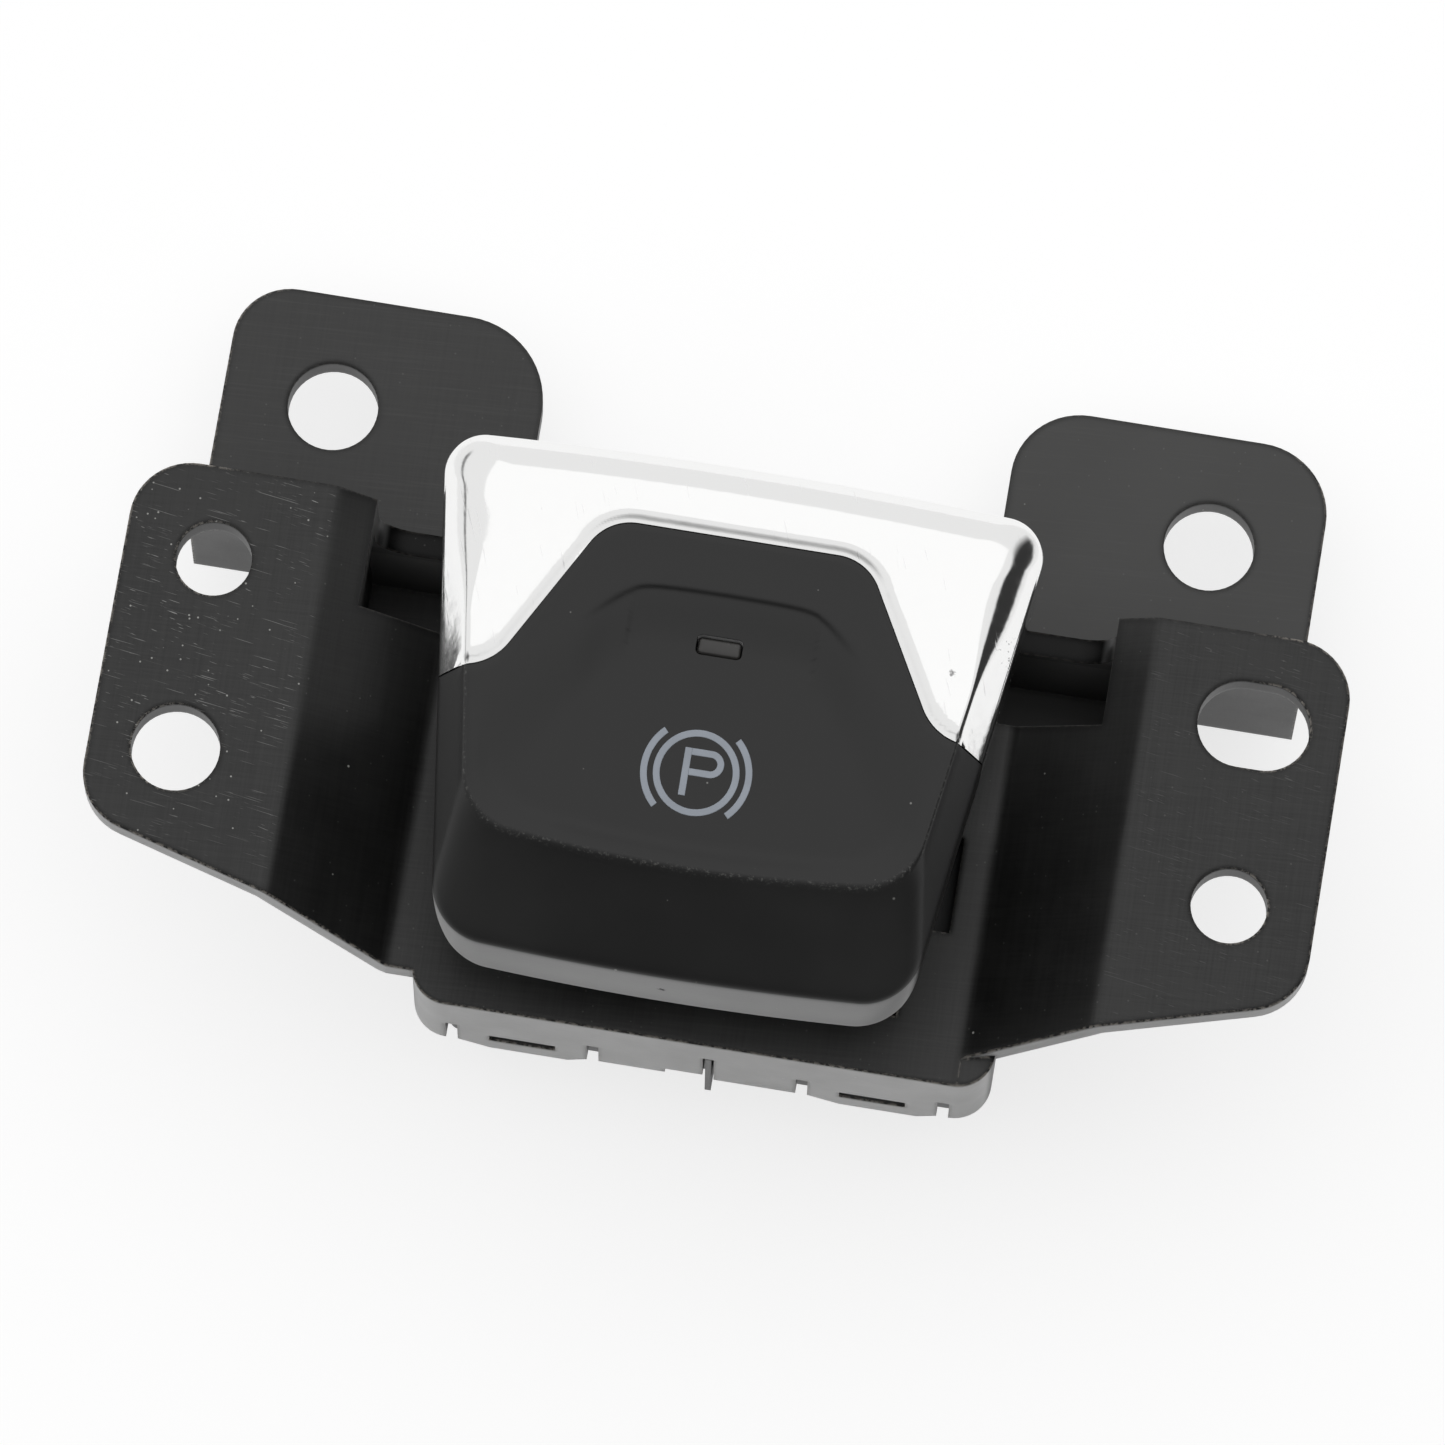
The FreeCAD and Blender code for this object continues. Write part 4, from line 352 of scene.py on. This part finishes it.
def metal(name, colour, rough, streak=0.08, grime=0.0):
    """Plain metal with fine streaks and a little roughness variation."""
    t = Tree(name)
    streaks = t.noise(300.0, 4.0, 0.6, t.grain(1.0, 16.0, 1.0))
    spots = t.ramp(t.noise(500.0, 3.0), 0.62, 0.75)
    t.set(Metallic=1.0)
    t.link(t.mix(t.math("MULTIPLY", spots, grime), colour, (0.12, 0.12, 0.11)), t.bsdf.inputs["Base Color"])
    t.link(t.math("ADD", t.ramp(streaks, 0.3, 0.7, -streak, streak), rough), t.bsdf.inputs["Roughness"])
    t.link(t.bump(streaks, 0.08, FINE_BUMP, t.soft_edges(0.0001)), t.bsdf.inputs["Normal"])
    return t.mat


def plastic(name, colour, rough, variation=0.15, clear=0.0):
    """Plain moulded plastic in one tint, with slight mottling."""
    t = Tree(name)
    cloud = t.noise(400.0, 3.0)
    darker = tuple(c * (1 - variation) for c in colour)
    t.link(t.mix(t.ramp(cloud, 0.3, 0.7), darker, colour), t.bsdf.inputs["Base Color"])
    t.link(t.ramp(cloud, 0.3, 0.7, rough - 0.04, rough + 0.05), t.bsdf.inputs["Roughness"])
    t.link(t.bump(t.noise(2500.0, 2.0), 0.1, FINE_BUMP, t.soft_edges(0.0001)), t.bsdf.inputs["Normal"])
    if clear:
        t.set(Transmission_Weight=clear, IOR=1.49)
    return t.mat


looks = {
    "bracket": bracket_material(),
    "switch_housing": moulded("housing_black", (0.012, 0.012, 0.013), (0.018, 0.018, 0.019), 0.5),
    "base_cover": moulded("cover_black", (0.012, 0.012, 0.013), (0.018, 0.018, 0.019), 0.5),
    "knob_carrier": moulded("carrier_black", (0.014, 0.014, 0.015), (0.02, 0.02, 0.021), 0.5),
    "front_plunger": moulded("plunger_black", (0.014, 0.014, 0.015), (0.02, 0.02, 0.021), 0.5),
    "knob_pad": pad_material(),
    "chrome_trim": plated_material(),
    "cover_screws": metal("steel_screws", (0.5, 0.51, 0.53), 0.35, 0.1, 0.3),
    "hinge_pins": metal("steel_pins", (0.55, 0.56, 0.58), 0.3, 0.08, 0.2),
    "front_spring": metal("spring_steel", (0.5, 0.5, 0.52), 0.3, 0.08, 0.2),
    "terminal_pins": metal("tinned", (0.72, 0.7, 0.64), 0.35, 0.08, 0.2),
    "circuit_board": plastic("board_green", (0.02, 0.12, 0.05), 0.35),
    "push_switch": plastic("detector_black", (0.025, 0.025, 0.028), 0.4),
    "push_switch_stem": plastic("pale_stem", (0.7, 0.7, 0.67), 0.45),
    "symbol_diffuser": plastic("pale_diffuser", (0.72, 0.72, 0.7), 0.5),
    "indicator_led": plastic("lamp_resin", (0.75, 0.7, 0.45), 0.3),
    "control_chip": plastic("chip_black", (0.03, 0.03, 0.032), 0.5),
    "chip_resistors": plastic("chip_dark", (0.06, 0.06, 0.06), 0.5),
    "light_guide": plastic("clear_guide", (0.85, 0.88, 0.88), 0.12, 0.05, 0.7),
    "indicator_lens": plastic("smoked_lens", (0.05, 0.048, 0.046), 0.25),
}
same = {
    "rear_plunger": "front_plunger", "rear_spring": "front_spring", "pull_switch": "push_switch",
    "pull_switch_stem": "push_switch_stem", "backlight_leds": "indicator_led",
}
for name, obj in nodes.items():
    obj.data.materials.clear()
    obj.data.materials.append(looks[same.get(name, name)])


# Finer knob skins: the same outlines as the CAD, with rounded lines and a soft dish

# Middle of the knob to the right, and the forward place about which its rings shrink
MID = -0.4
MIDDLE_F = 15.0
# Points in each ring of the skins
RING = 400
# Places (right, forward) of the sign's middle and the lens's middle
SYMBOL = (-0.68, 21.8)
LENS = (-0.5, 11.75)
# Heights at the wings' rear edge, and how far the planes fall for each mm forward
TOP, TOP_FALL = 14.8, 0.11
EDGE, EDGE_FALL = 12.2, 0.158
FOOT = -1.8
# Band inside the crease over which the top starts, and depth of the hollow under the top
BAND = 2.6
SKIN_DEEP = 1.9
# Print over the pad, and its depth
PRINT_LIFT, PRINT_DEEP = 0.015, 0.05


def top_plane(f):
    """Height of the knob's plain top at a place forward."""
    return TOP - TOP_FALL * f


def fillet_corner(corner, a, b, radius, count):
    """Points of a round between two directions that leave a corner."""
    a, b = a.normalized(), b.normalized()
    half = a.angle(b) / 2
    run = radius / math.tan(half)
    centre = corner + (a + b).normalized() * (radius / math.sin(half))
    p, q = corner + a * run - centre, corner + b * run - centre
    sweep = math.atan2(p.x * q.y - p.y * q.x, p.dot(q))
    points = []
    for i in range(count + 1):
        turn = sweep * i / count
        c, s = math.cos(turn), math.sin(turn)
        points.append(centre + Vector((p.x * c - p.y * s, p.x * s + p.y * c)))
    return points


def outline(rear, front, half_rear, half_front, bow_rear, bow_front, round_rear, round_front):
    """Plan outline (x, f) of the knob at one level, always with RING points in the same order."""
    corners = [Vector((-half_rear, rear)), Vector((half_rear, rear)),
               Vector((half_front, front)), Vector((-half_front, front))]
    lean = [Vector((1, -2 * bow_rear / half_rear)), Vector((-1, -2 * bow_rear / half_rear)),
            Vector((-1, 2 * bow_front / half_front)), Vector((1, 2 * bow_front / half_front))]
    side = [corners[3] - corners[0], corners[2] - corners[1],
            corners[1] - corners[2], corners[0] - corners[3]]
    n_corner, n_end, n_side = 24, 88, 64
    rounds = [fillet_corner(corners[0], side[0], lean[0], round_rear, n_corner),
              fillet_corner(corners[1], lean[1], side[1], round_rear, n_corner),
              fillet_corner(corners[2], side[2], lean[2], round_front, n_corner),
              fillet_corner(corners[3], lean[3], side[3], round_front, n_corner)]
    tips = {0: rear - bow_rear, 2: front + bow_front}
    points = []
    for i in range(4):
        points += rounds[i][:-1]
        p, q = rounds[i][-1], rounds[(i + 1) % 4][0]
        bow = tips[i] - p.y if i in tips else 0.0
        count = n_end if i in tips else n_side
        for k in range(count):
            t = k / count
            point = p.lerp(q, t)
            point.y += bow * (1 - (2 * t - 1) ** 2)
            points.append(point)
    return points


def edge_ring():
    """Widest line of the knob."""
    ring = outline(-2.35, 36.4, 24.3, 18.95, 0.75, 0.75, 3.2, 4.8)
    return [Vector((p.x, p.y, EDGE - EDGE_FALL * p.y)) for p in ring]


def crease_ring(inset=0.0, lower=0.0):
    """Edge of the top face."""
    ring = outline(-0.45 + inset, 28.0 - inset, 22.05 - inset, 17.75 - inset, 0.75, 1.4, 2.4, 5.0)
    return [Vector((p.x, p.y, top_plane(p.y) - lower)) for p in ring]


def foot_ring(z, inset=0.0):
    """Outline near the bottom of the knob's walls."""
    ring = outline(-1.95 + inset, 36.4 - inset, 23.9 - inset, 18.45 - inset, 0.75, 0.75, 3.2, 4.8)
    return [Vector((p.x, p.y, z)) for p in ring]


def blend_rings(a, b, t):
    return [p.lerp(q, t) for p, q in zip(a, b)]


def smooth(lo, hi, v):
    t = min(max((v - lo) / (hi - lo), 0.0), 1.0)
    return t * t * (3 - 2 * t)


def dish(x, f, inward):
    """Depth of the finger dish: a small crisp rear step that fades at the sides, and a soft bowl."""
    ax = abs(x)
    rim = 7.5 + 0.475 * ((ax - 7.4) + math.sqrt((ax - 7.4) ** 2 + 1.6))
    past = (f - rim) * (0.74 if ax > 7.4 else 1.0)
    step = 0.2 * smooth(0.0, 0.42, past) * (1 - smooth(8.4, 11.5, ax))
    bowl = 0.42 * smooth(-0.2, 4.6 + 3.0 * smooth(8.0, 16.0, ax), past)
    return (step + bowl) * smooth(0.35, 2.0, inward)


def skin_mesh(softness, dished, ridge):
    """Closed skin of the whole knob: walls, bevels, creased top with the dish, and a hollow inside."""
    foot, edge, crease, inner = foot_ring(FOOT), edge_ring(), crease_ring(), crease_ring(BAND)
    soft = [softness(p.y) for p in crease]
    rings = [(foot_ring(FOOT, 1.7), 0), (foot_ring(FOOT, 0.35), 0), (foot_ring(-1.72, 0.1), 0),
             (foot_ring(-1.45, 0.0), 0)]
    for t in (0.1, 0.2, 0.3, 0.4, 0.5, 0.6, 0.7, 0.8, 0.88, 0.93):
        swell = 0.88 * t * (1 - t)
        ring = [Vector((p.x * (1 + swell / 40), p.y + swell * (p.y - MIDDLE_F) / 30, p.z))
                for p in blend_rings(foot, edge, t)]
        rings.append((ring, 0))
    wall, bevel = blend_rings(foot, edge, 0.965), blend_rings(edge, crease, 0.12)
    for u in (0.0, 0.2, 0.4, 0.6, 0.8, 1.0):
        ring = [(1 - u) ** 2 * a + 2 * u * (1 - u) * b + u * u * c for a, b, c in zip(wall, edge, bevel)]
        rings.append((ring, 0.12 * math.sin(math.pi * u)))
    for s in (0.2, 0.4, 0.6, 0.8):
        rings.append(([e.lerp(c, 0.12 + (0.88 - k) * s) for e, c, k in zip(edge, crease, soft)], 0))
    first_top = len(rings)
    for u in (0.0, 0.11, 0.22, 0.33, 0.44, 0.56, 0.67, 0.78, 0.89, 1.0):
        ring = []
        for e, c, n, k in zip(edge, crease, inner, soft):
            start, end = e.lerp(c, 1 - k), c.lerp(n, k)
            spot = (1 - u) ** 2 * start + 2 * u * (1 - u) * c + u * u * end
            spot.z += ridge * math.sin(math.pi * u) * smooth(0.0, 0.5, 0.5 - k)
            ring.append(spot)
        rings.append((ring, math.sin(math.pi * u) ** 2))
    inward = {}
    for s in (0.2, 0.4, 0.6, 0.8, 1.0):
        inward[len(rings)] = [BAND * (k + (1 - k) * s) for k in soft]
        rings.append(([c.lerp(n, k + (1 - k) * s) for c, n, k in zip(crease, inner, soft)], 0))
    steps = 96
    centre = Vector((0.0, MIDDLE_F, 0.0))
    for k in range(1, steps):
        ring = [centre + (p - centre) * (1 - k / steps) for p in inner]
        inward[len(rings)] = [BAND + k / steps * math.hypot(p.x, p.y - MIDDLE_F) for p in inner]
        rings.append((ring, 0.0))
    for number, reach in inward.items():
        for p, d in zip(rings[number][0], reach):
            p.z = top_plane(p.y) - (dish(p.x, p.y, d) if dished else 0.0)
    verts, faces, wear = [], [], []
    for ring, w in rings:
        verts += ring
        wear += [w] * RING
    for k in range(len(rings) - 1):
        for i in range(RING):
            j = (i + 1) % RING
            faces.append((k * RING + i, k * RING + j, (k + 1) * RING + j, (k + 1) * RING + i))
    bowl = dish(0, MIDDLE_F, 12) if dished else 0.0
    verts.append(Vector((0.0, MIDDLE_F, top_plane(MIDDLE_F) - bowl)))
    wear.append(0.0)
    last = (len(rings) - 1) * RING
    for i in range(RING):
        faces.append((last + i, last + (i + 1) % RING, len(verts) - 1))
    drop, reach = (0.14, 0.55) if dished else (0.32, 1.05)
    lower_to_seam(verts, first_top * RING, drop, reach)
    # Inside of the skin, closed back to the first ring
    low_edge = [Vector((p.x * 0.92, MIDDLE_F + (p.y - MIDDLE_F) * 0.9, p.z - 1.4)) for p in edge]
    base = 0
    for ring in (foot_ring(3.0, 1.7), low_edge, crease_ring(1.2, SKIN_DEEP),
                 crease_ring(6.0, SKIN_DEEP)):
        start = len(verts)
        verts += ring
        wear += [0.0] * RING
        for i in range(RING):
            j = (i + 1) % RING
            faces.append((base + j, base + i, start + i, start + j))
        base = start
    verts.append(Vector((0.0, MIDDLE_F, top_plane(MIDDLE_F) - SKIN_DEEP)))
    wear.append(0.0)
    for i in range(RING):
        faces.append((base + (i + 1) % RING, base + i, len(verts) - 1))
    return [(v.x + MID, v.y, v.z) for v in verts], faces, wear


def lower_to_seam(verts, first, drop, reach):
    """Roll the skin down along the seam between trim and pad."""
    seam = np.array([(x - MID, f) for x, f in vee_plan(0.0) if f > -5])
    a, b = seam[:-1], seam[1:]
    top = np.array([(v.x, v.y) for v in verts[first:]])
    best = np.full(len(top), 9.0)
    for p, q in zip(a, b):
        along = q - p
        t = np.clip(((top - p) @ along) / (along @ along), 0, 1)
        best = np.minimum(best, np.linalg.norm(top - (p + t[:, None] * along), axis=1))
    for v, d in zip(verts[first:], best):
        if d < reach:
            v.z -= drop * (1 - smooth(0.0, reach, float(d)))


def mesh_object(name, verts, faces, wear=None):
    """A mesh object from drawing coordinates."""
    mesh = bpy.data.meshes.new(name)
    mesh.from_pydata([at(*v) for v in verts], [], faces)
    if wear:
        layer = mesh.attributes.new("wear", "FLOAT", "POINT")
        layer.data.foreach_set("value", wear)
    bm = bmesh.new()
    bm.from_mesh(mesh)
    bmesh.ops.recalc_face_normals(bm, faces=bm.faces)
    bm.to_mesh(mesh)
    bm.free()
    obj = bpy.data.objects.new(name, mesh)
    bpy.context.scene.collection.objects.link(obj)
    return obj


def prism(name, plan, low, high):
    """A closed upright prism over a plan outline (x, f)."""
    n = len(plan)
    verts = [(x, f, low) for x, f in plan] + [(x, f, high) for x, f in plan]
    faces = [tuple(range(n)), tuple(range(n, 2 * n))]
    faces += [(i, (i + 1) % n, n + (i + 1) % n, n + i) for i in range(n)]
    return mesh_object(name, verts, faces)


def carve(obj, tool, operation, name):
    """A new object: obj cut by or kept within a tool."""
    result = bpy.data.objects.new(name, obj.data.copy())
    bpy.context.scene.collection.objects.link(result)
    mod = result.modifiers.new("cut", "BOOLEAN")
    mod.operation = operation
    mod.object = tool
    mod.solver = "EXACT"
    bpy.context.view_layer.update()
    mesh = bpy.data.meshes.new_from_object(result.evaluated_get(bpy.context.evaluated_depsgraph_get()))
    result.modifiers.clear()
    result.data = mesh
    return result


def round_polygon(points, radii, count=10):
    """Round the corners of a plan polygon."""
    out = []
    n = len(points)
    for i in range(n):
        p = Vector(points[i])
        if radii[i] == 0:
            out.append(tuple(p))
            continue
        a, b = Vector(points[i - 1]) - p, Vector(points[(i + 1) % n]) - p
        out += [tuple(q) for q in fillet_corner(p, a, b, radii[i], count)]
    return out


def rounded_box(centre, half_wide, half_long, radius, count=6):
    """Plan outline of a box with round corners."""
    x, f = centre
    corners = [(x - half_wide, f - half_long), (x + half_wide, f - half_long),
               (x + half_wide, f + half_long), (x - half_wide, f + half_long)]
    return round_polygon(corners, [radius] * 4, count)


def vee_plan(grow):
    """Plan region behind the pad's stepped rear boundary; grow moves the boundary to the rear."""
    # Rear corner, knee, and a place past the knob's side on the line from the knee to the tip
    half = [(10.3, 3.2), (17.4, 15.8), (30.0, 15.8 + 12.6 * 0.2442)]
    moved = [(x, f - grow) for x, f in half]
    plan = [(-30, -20), (-30, moved[2][1]), (-moved[1][0], moved[1][1]), (-moved[0][0], moved[0][1]),
            (moved[0][0], moved[0][1]), (moved[1][0], moved[1][1]), (30, moved[2][1]), (30, -20)]
    plan = round_polygon(plan, [0, 0, 4.5, 4.0, 4.0, 4.5, 0, 0], 16)
    return [(x + MID, f) for x, f in plan]


def shade(obj, angle=32.0):
    """Smooth shading with sharp edges kept."""
    mesh = obj.data
    mesh.polygons.foreach_set("use_smooth", [True] * len(mesh.polygons))
    mesh.set_sharp_from_angle(angle=math.radians(angle))


def top_z(x, f):
    """Height of the finished pad at a place inside the dish."""
    return top_plane(f) - dish(x - MID, f, 9.0)


def discard(*objs):
    for obj in objs:
        bpy.data.objects.remove(obj, do_unlink=True)


def dress(obj, material, slot, *nodes_replaced):
    """Give a knob piece its material and body, and hide the CAD parts it replaces; slot is not used."""
    obj.data.materials.clear()
    obj.data.materials.append(material)
    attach(obj, "knob")
    for node in nodes_replaced:
        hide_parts(node)


def trim_softness(f):
    """The trim is rounded all over at its rear and creased towards its tips."""
    return 0.86 - 0.7 * smooth(4.0, 13.0, f)


def knob_skins():
    """Replace the CAD's trim and pad with the finer skins."""
    whole = mesh_object("trim_skin", *skin_mesh(trim_softness, False, 0.0))
    tool = prism("rear_tool", vee_plan(0.07), -8, 40)
    trim = carve(whole, tool, "INTERSECT", "plated_trim_fine")
    discard(whole, tool)
    whole = mesh_object("pad_skin", *skin_mesh(lambda f: 0.1, True, 0.1))
    tool = prism("front_tool", vee_plan(-0.07), -8, 40)
    rough = carve(whole, tool, "DIFFERENCE", "pad_rough")
    lamp = prism("lamp_tool", rounded_box(LENS, 1.83, 0.78, 0.42), 5, 40)
    pad = carve(rough, lamp, "DIFFERENCE", "knob_pad_fine")
    discard(whole, tool, rough, lamp)
    for obj, node, slot in ((trim, "chrome_trim", "plated_trim"), (pad, "knob_pad", "pad_plastic")):
        shade(obj)
        dress(obj, looks[node], slot, node)


def make_lens():
    """Smoked indicator lens with rounded edges, a little under the pad."""
    level = top_z(*LENS)
    rings = []
    for inset, low in ((0.0, 1.6), (0.0, 0.42), (0.04, 0.3), (0.14, 0.2), (0.28, 0.16), (0.45, 0.14)):
        rings.append([(x, f, level - low - TOP_FALL * (f - LENS[1]))
                      for x, f in rounded_box(LENS, 1.74 - inset, 0.69 - inset, max(0.34 - inset, 0.05))])
    n = len(rings[0])
    verts = [v for ring in rings for v in ring]
    faces = [tuple(range(n)), tuple(range(len(verts) - n, len(verts)))]
    for k in range(len(rings) - 1):
        under, over = k * n, (k + 1) * n
        for i in range(n):
            j = (i + 1) % n
            faces.append((under + i, under + j, over + j, over + i))
    lens = mesh_object("indicator_lens_fine", verts, faces)
    shade(lens, 50.0)
    dress(lens, looks["indicator_lens"], "lens", "indicator_lens")


def band(radius, stroke, from_deg, to_deg, count):
    """Inner and outer line of an arc about the symbol's middle, u to the right and v to the rear."""
    outer, inner = [], []
    for i in range(count):
        a = math.radians(from_deg + (to_deg - from_deg) * i / (count - 1))
        outer.append((radius * math.cos(a), radius * math.sin(a)))
        inner.append(((radius - stroke) * math.cos(a), (radius - stroke) * math.sin(a)))
    return outer, inner


def printed(name, pair, material, closed=False):
    """A thin printed band on the pad."""
    outer, inner = pair
    if closed:
        outer, inner = outer[:-1], inner[:-1]
    n = len(outer)
    verts, faces = [], []
    for drop in (0.0, PRINT_DEEP):
        for u, v in outer + inner:
            x, f = SYMBOL[0] + u, SYMBOL[1] - v
            verts.append((x, f, top_z(x, f) + PRINT_LIFT - drop))
    for i in range(n if closed else n - 1):
        j = (i + 1) % n
        a, b, c, d = i, j, n + j, n + i
        faces += [(a, b, c, d), (a + 2 * n, d + 2 * n, c + 2 * n, b + 2 * n),
                  (a, a + 2 * n, b + 2 * n, b), (d, c, c + 2 * n, d + 2 * n)]
    if not closed:
        faces += [(0, n, 3 * n, 2 * n), (n - 1, 3 * n - 1, 4 * n - 1, 2 * n - 1)]
    dress(mesh_object(name, verts, faces), material, "pale_plastic")


def draw_symbol():
    """Generic parking brake sign: a letter in a ring between two arcs."""
    pale = plastic("symbol_pale", (0.4, 0.44, 0.5), 0.5, 0.1)
    stroke = 0.54
    printed("symbol_ring", band(3.4, stroke, 0, 360, 97), pale, closed=True)
    printed("symbol_arc_right", band(4.4, stroke, -46.5, 46.5, 40), pale)
    printed("symbol_arc_left", band(4.4, stroke, 133.5, 226.5, 40), pale)
    printed("symbol_stem", ([(-1.15, -1.9), (-1.15, 1.9)], [(-0.6, -1.9), (-0.6, 1.9)]), pale)
    outer, inner = [(-0.6, 1.9), (0.2, 1.9)], [(-0.6, 1.36), (0.2, 1.36)]
    for i in range(25):
        a = math.radians(90 - 180 * i / 24)
        outer.append((1.0 + 1.075 * math.cos(a), 0.825 + 1.075 * math.sin(a)))
        inner.append((1.0 + 0.535 * math.cos(a), 0.825 + 0.535 * math.sin(a)))
    outer += [(0.2, -0.25), (-0.6, -0.25)]
    inner += [(0.2, 0.29), (-0.6, 0.29)]
    printed("symbol_bowl", (outer, inner), pale)


def make_coil(name):
    """A copy of a return spring, baked in place, which stands in for the CAD part."""
    coil = bpy.data.objects.new(name + "_coil", nodes[name].data.copy())
    bpy.context.scene.collection.objects.link(coil)
    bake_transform(coil)
    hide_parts(name)


knob_skins()
make_lens()
draw_symbol()
make_coil("front_spring")
make_coil("rear_spring")


# Studio

# Photo's width in pixels, sensor's width in mm, and the fitted camera (degrees, mm, pixels)
PHOTO_PIXELS = 1445.0
SENSOR = 36.0
CAM = {"az": 7.776, "el": 74.878, "roll": 1.628, "dist": 960.79,
       "focal": 12050.6, "cx": 0.408, "cy": 1.960}


def make_floor():
    """Pale flat floor; it looks white to the camera but keeps the soft shadow."""
    bm = bmesh.new()
    for x, y in ((-2, -2), (2, -2), (2, 2), (-2, 2)):
        bm.verts.new((x, y, -0.0002))
    bm.faces.new(bm.verts)
    mesh = bpy.data.meshes.new("floor")
    bm.to_mesh(mesh)
    bm.free()
    floor = bpy.data.objects.new("floor", mesh)
    bpy.context.scene.collection.objects.link(floor)
    t = Tree("floor_white")
    path = t.nodes.new("ShaderNodeLightPath")
    seen = t.math("MAXIMUM", path.outputs["Is Camera Ray"], path.outputs["Is Glossy Ray"])
    seen = t.math("MAXIMUM", seen, path.outputs["Is Transmission Ray"])
    plain = t.mix(t.ramp(t.noise(3.0, 2.0), 0.3, 0.7), (0.86, 0.86, 0.86), (0.88, 0.88, 0.88))
    t.link(t.mix(seen, plain, (0.36, 0.36, 0.36)), t.bsdf.inputs["Base Color"])
    t.set(Roughness=0.9, Specular_IOR_Level=0.1)
    t.bsdf.inputs["Emission Color"].default_value = (1, 1, 1, 1)
    t.link(t.math("MULTIPLY", seen, 0.745), t.bsdf.inputs["Emission Strength"])
    floor.data.materials.append(t.mat)
    return floor


def make_lamp(name, place, target, wide, long, watts):
    """A soft box."""
    data = bpy.data.lights.new(name, "AREA")
    data.shape = "RECTANGLE"
    data.size = wide
    data.size_y = long
    data.energy = watts
    lamp = bpy.data.objects.new(name, data)
    bpy.context.scene.collection.objects.link(lamp)
    lamp.location = place
    lamp.rotation_euler = (Vector(target) - Vector(place)).to_track_quat("-Z", "Y").to_euler()
    return lamp


def make_camera():
    """Camera at the photo's angle, fitted to the bracket's holes and edges."""
    az, el, roll = math.radians(CAM["az"]), math.radians(CAM["el"]), math.radians(CAM["roll"])
    d = Vector((math.sin(az) * math.cos(el), -math.cos(az) * math.cos(el), math.sin(el)))
    right = Vector((0, 0, 1)).cross(d).normalized()
    up = d.cross(right)
    r2 = math.cos(roll) * right + math.sin(roll) * up
    u2 = -math.sin(roll) * right + math.cos(roll) * up
    place = at(0, 15.0, -5.0) + (d * CAM["dist"] + r2 * CAM["cx"] + u2 * CAM["cy"]) * MM
    data = bpy.data.cameras.new("photo_camera")
    data.sensor_width = SENSOR
    data.lens = CAM["focal"] / PHOTO_PIXELS * SENSOR
    data.clip_end = 20.0
    camera = bpy.data.objects.new("photo_camera", data)
    bpy.context.scene.collection.objects.link(camera)
    turn = Matrix((r2, u2, d)).transposed().to_4x4()
    camera.matrix_world = Matrix.Translation(place) @ turn
    bpy.context.scene.camera = camera


make_camera()
floor = make_floor()
lamps = [make_lamp("top_box", (0.1, 0.5, 1.5), (0, 0, 0.02), 1.6, 1.2, 1.2)]


def make_world():
    """White tent with dark gaps: in front, at the right, and a thin one at the left."""
    world = bpy.data.worlds.new("studio")
    bpy.context.scene.world = world
    world.use_nodes = True
    tree = world.node_tree
    back = tree.nodes["Background"]
    back.inputs["Color"].default_value = (1, 1, 1, 1)

    def link(socket, v):
        if isinstance(v, bpy.types.NodeSocket):
            tree.links.new(v, socket)
        else:
            socket.default_value = v

    def calc(op, a, b=0.0):
        n = tree.nodes.new("ShaderNodeMath")
        n.operation = op
        link(n.inputs[0], a)
        link(n.inputs[1], b)
        return n.outputs[0]

    def ramp(v, lo, hi):
        n = tree.nodes.new("ShaderNodeMapRange")
        n.interpolation_type = "SMOOTHSTEP"
        link(n.inputs["Value"], v)
        n.inputs["From Min"].default_value = lo
        n.inputs["From Max"].default_value = hi
        return n.outputs["Result"]

    def below(v, lo, hi):
        return calc("SUBTRACT", 1.0, ramp(v, lo, hi))

    split = tree.nodes.new("ShaderNodeSeparateXYZ")
    tree.links.new(tree.nodes.new("ShaderNodeTexCoord").outputs["Generated"], split.inputs[0])
    x, y, z = split.outputs
    front = calc("MULTIPLY", ramp(calc("MULTIPLY", y, -1.0), 0.2, 0.6), below(z, 0.66, 0.86))
    side_band = calc("MULTIPLY", ramp(z, 0.05, 0.12), below(z, 0.6, 0.68))
    right = calc("MULTIPLY", ramp(x, 0.55, 0.75), side_band)
    thin = calc("MULTIPLY", ramp(z, 0.2, 0.23), below(z, 0.28, 0.31))
    left = calc("MULTIPLY", ramp(calc("MULTIPLY", x, -1.0), 0.6, 0.8), thin)
    dark = calc("MAXIMUM", calc("MULTIPLY", right, 0.96), calc("MULTIPLY", left, 0.75))
    dark = calc("MAXIMUM", calc("MULTIPLY", front, 0.86), dark)
    path = tree.nodes.new("ShaderNodeLightPath").outputs["Is Camera Ray"]
    level = calc("MULTIPLY", calc("SUBTRACT", 1.0, dark), 0.88)
    tree.links.new(calc("MAXIMUM", level, path), back.inputs["Strength"])


make_world()

bpy.context.scene.view_settings.view_transform = "Standard"
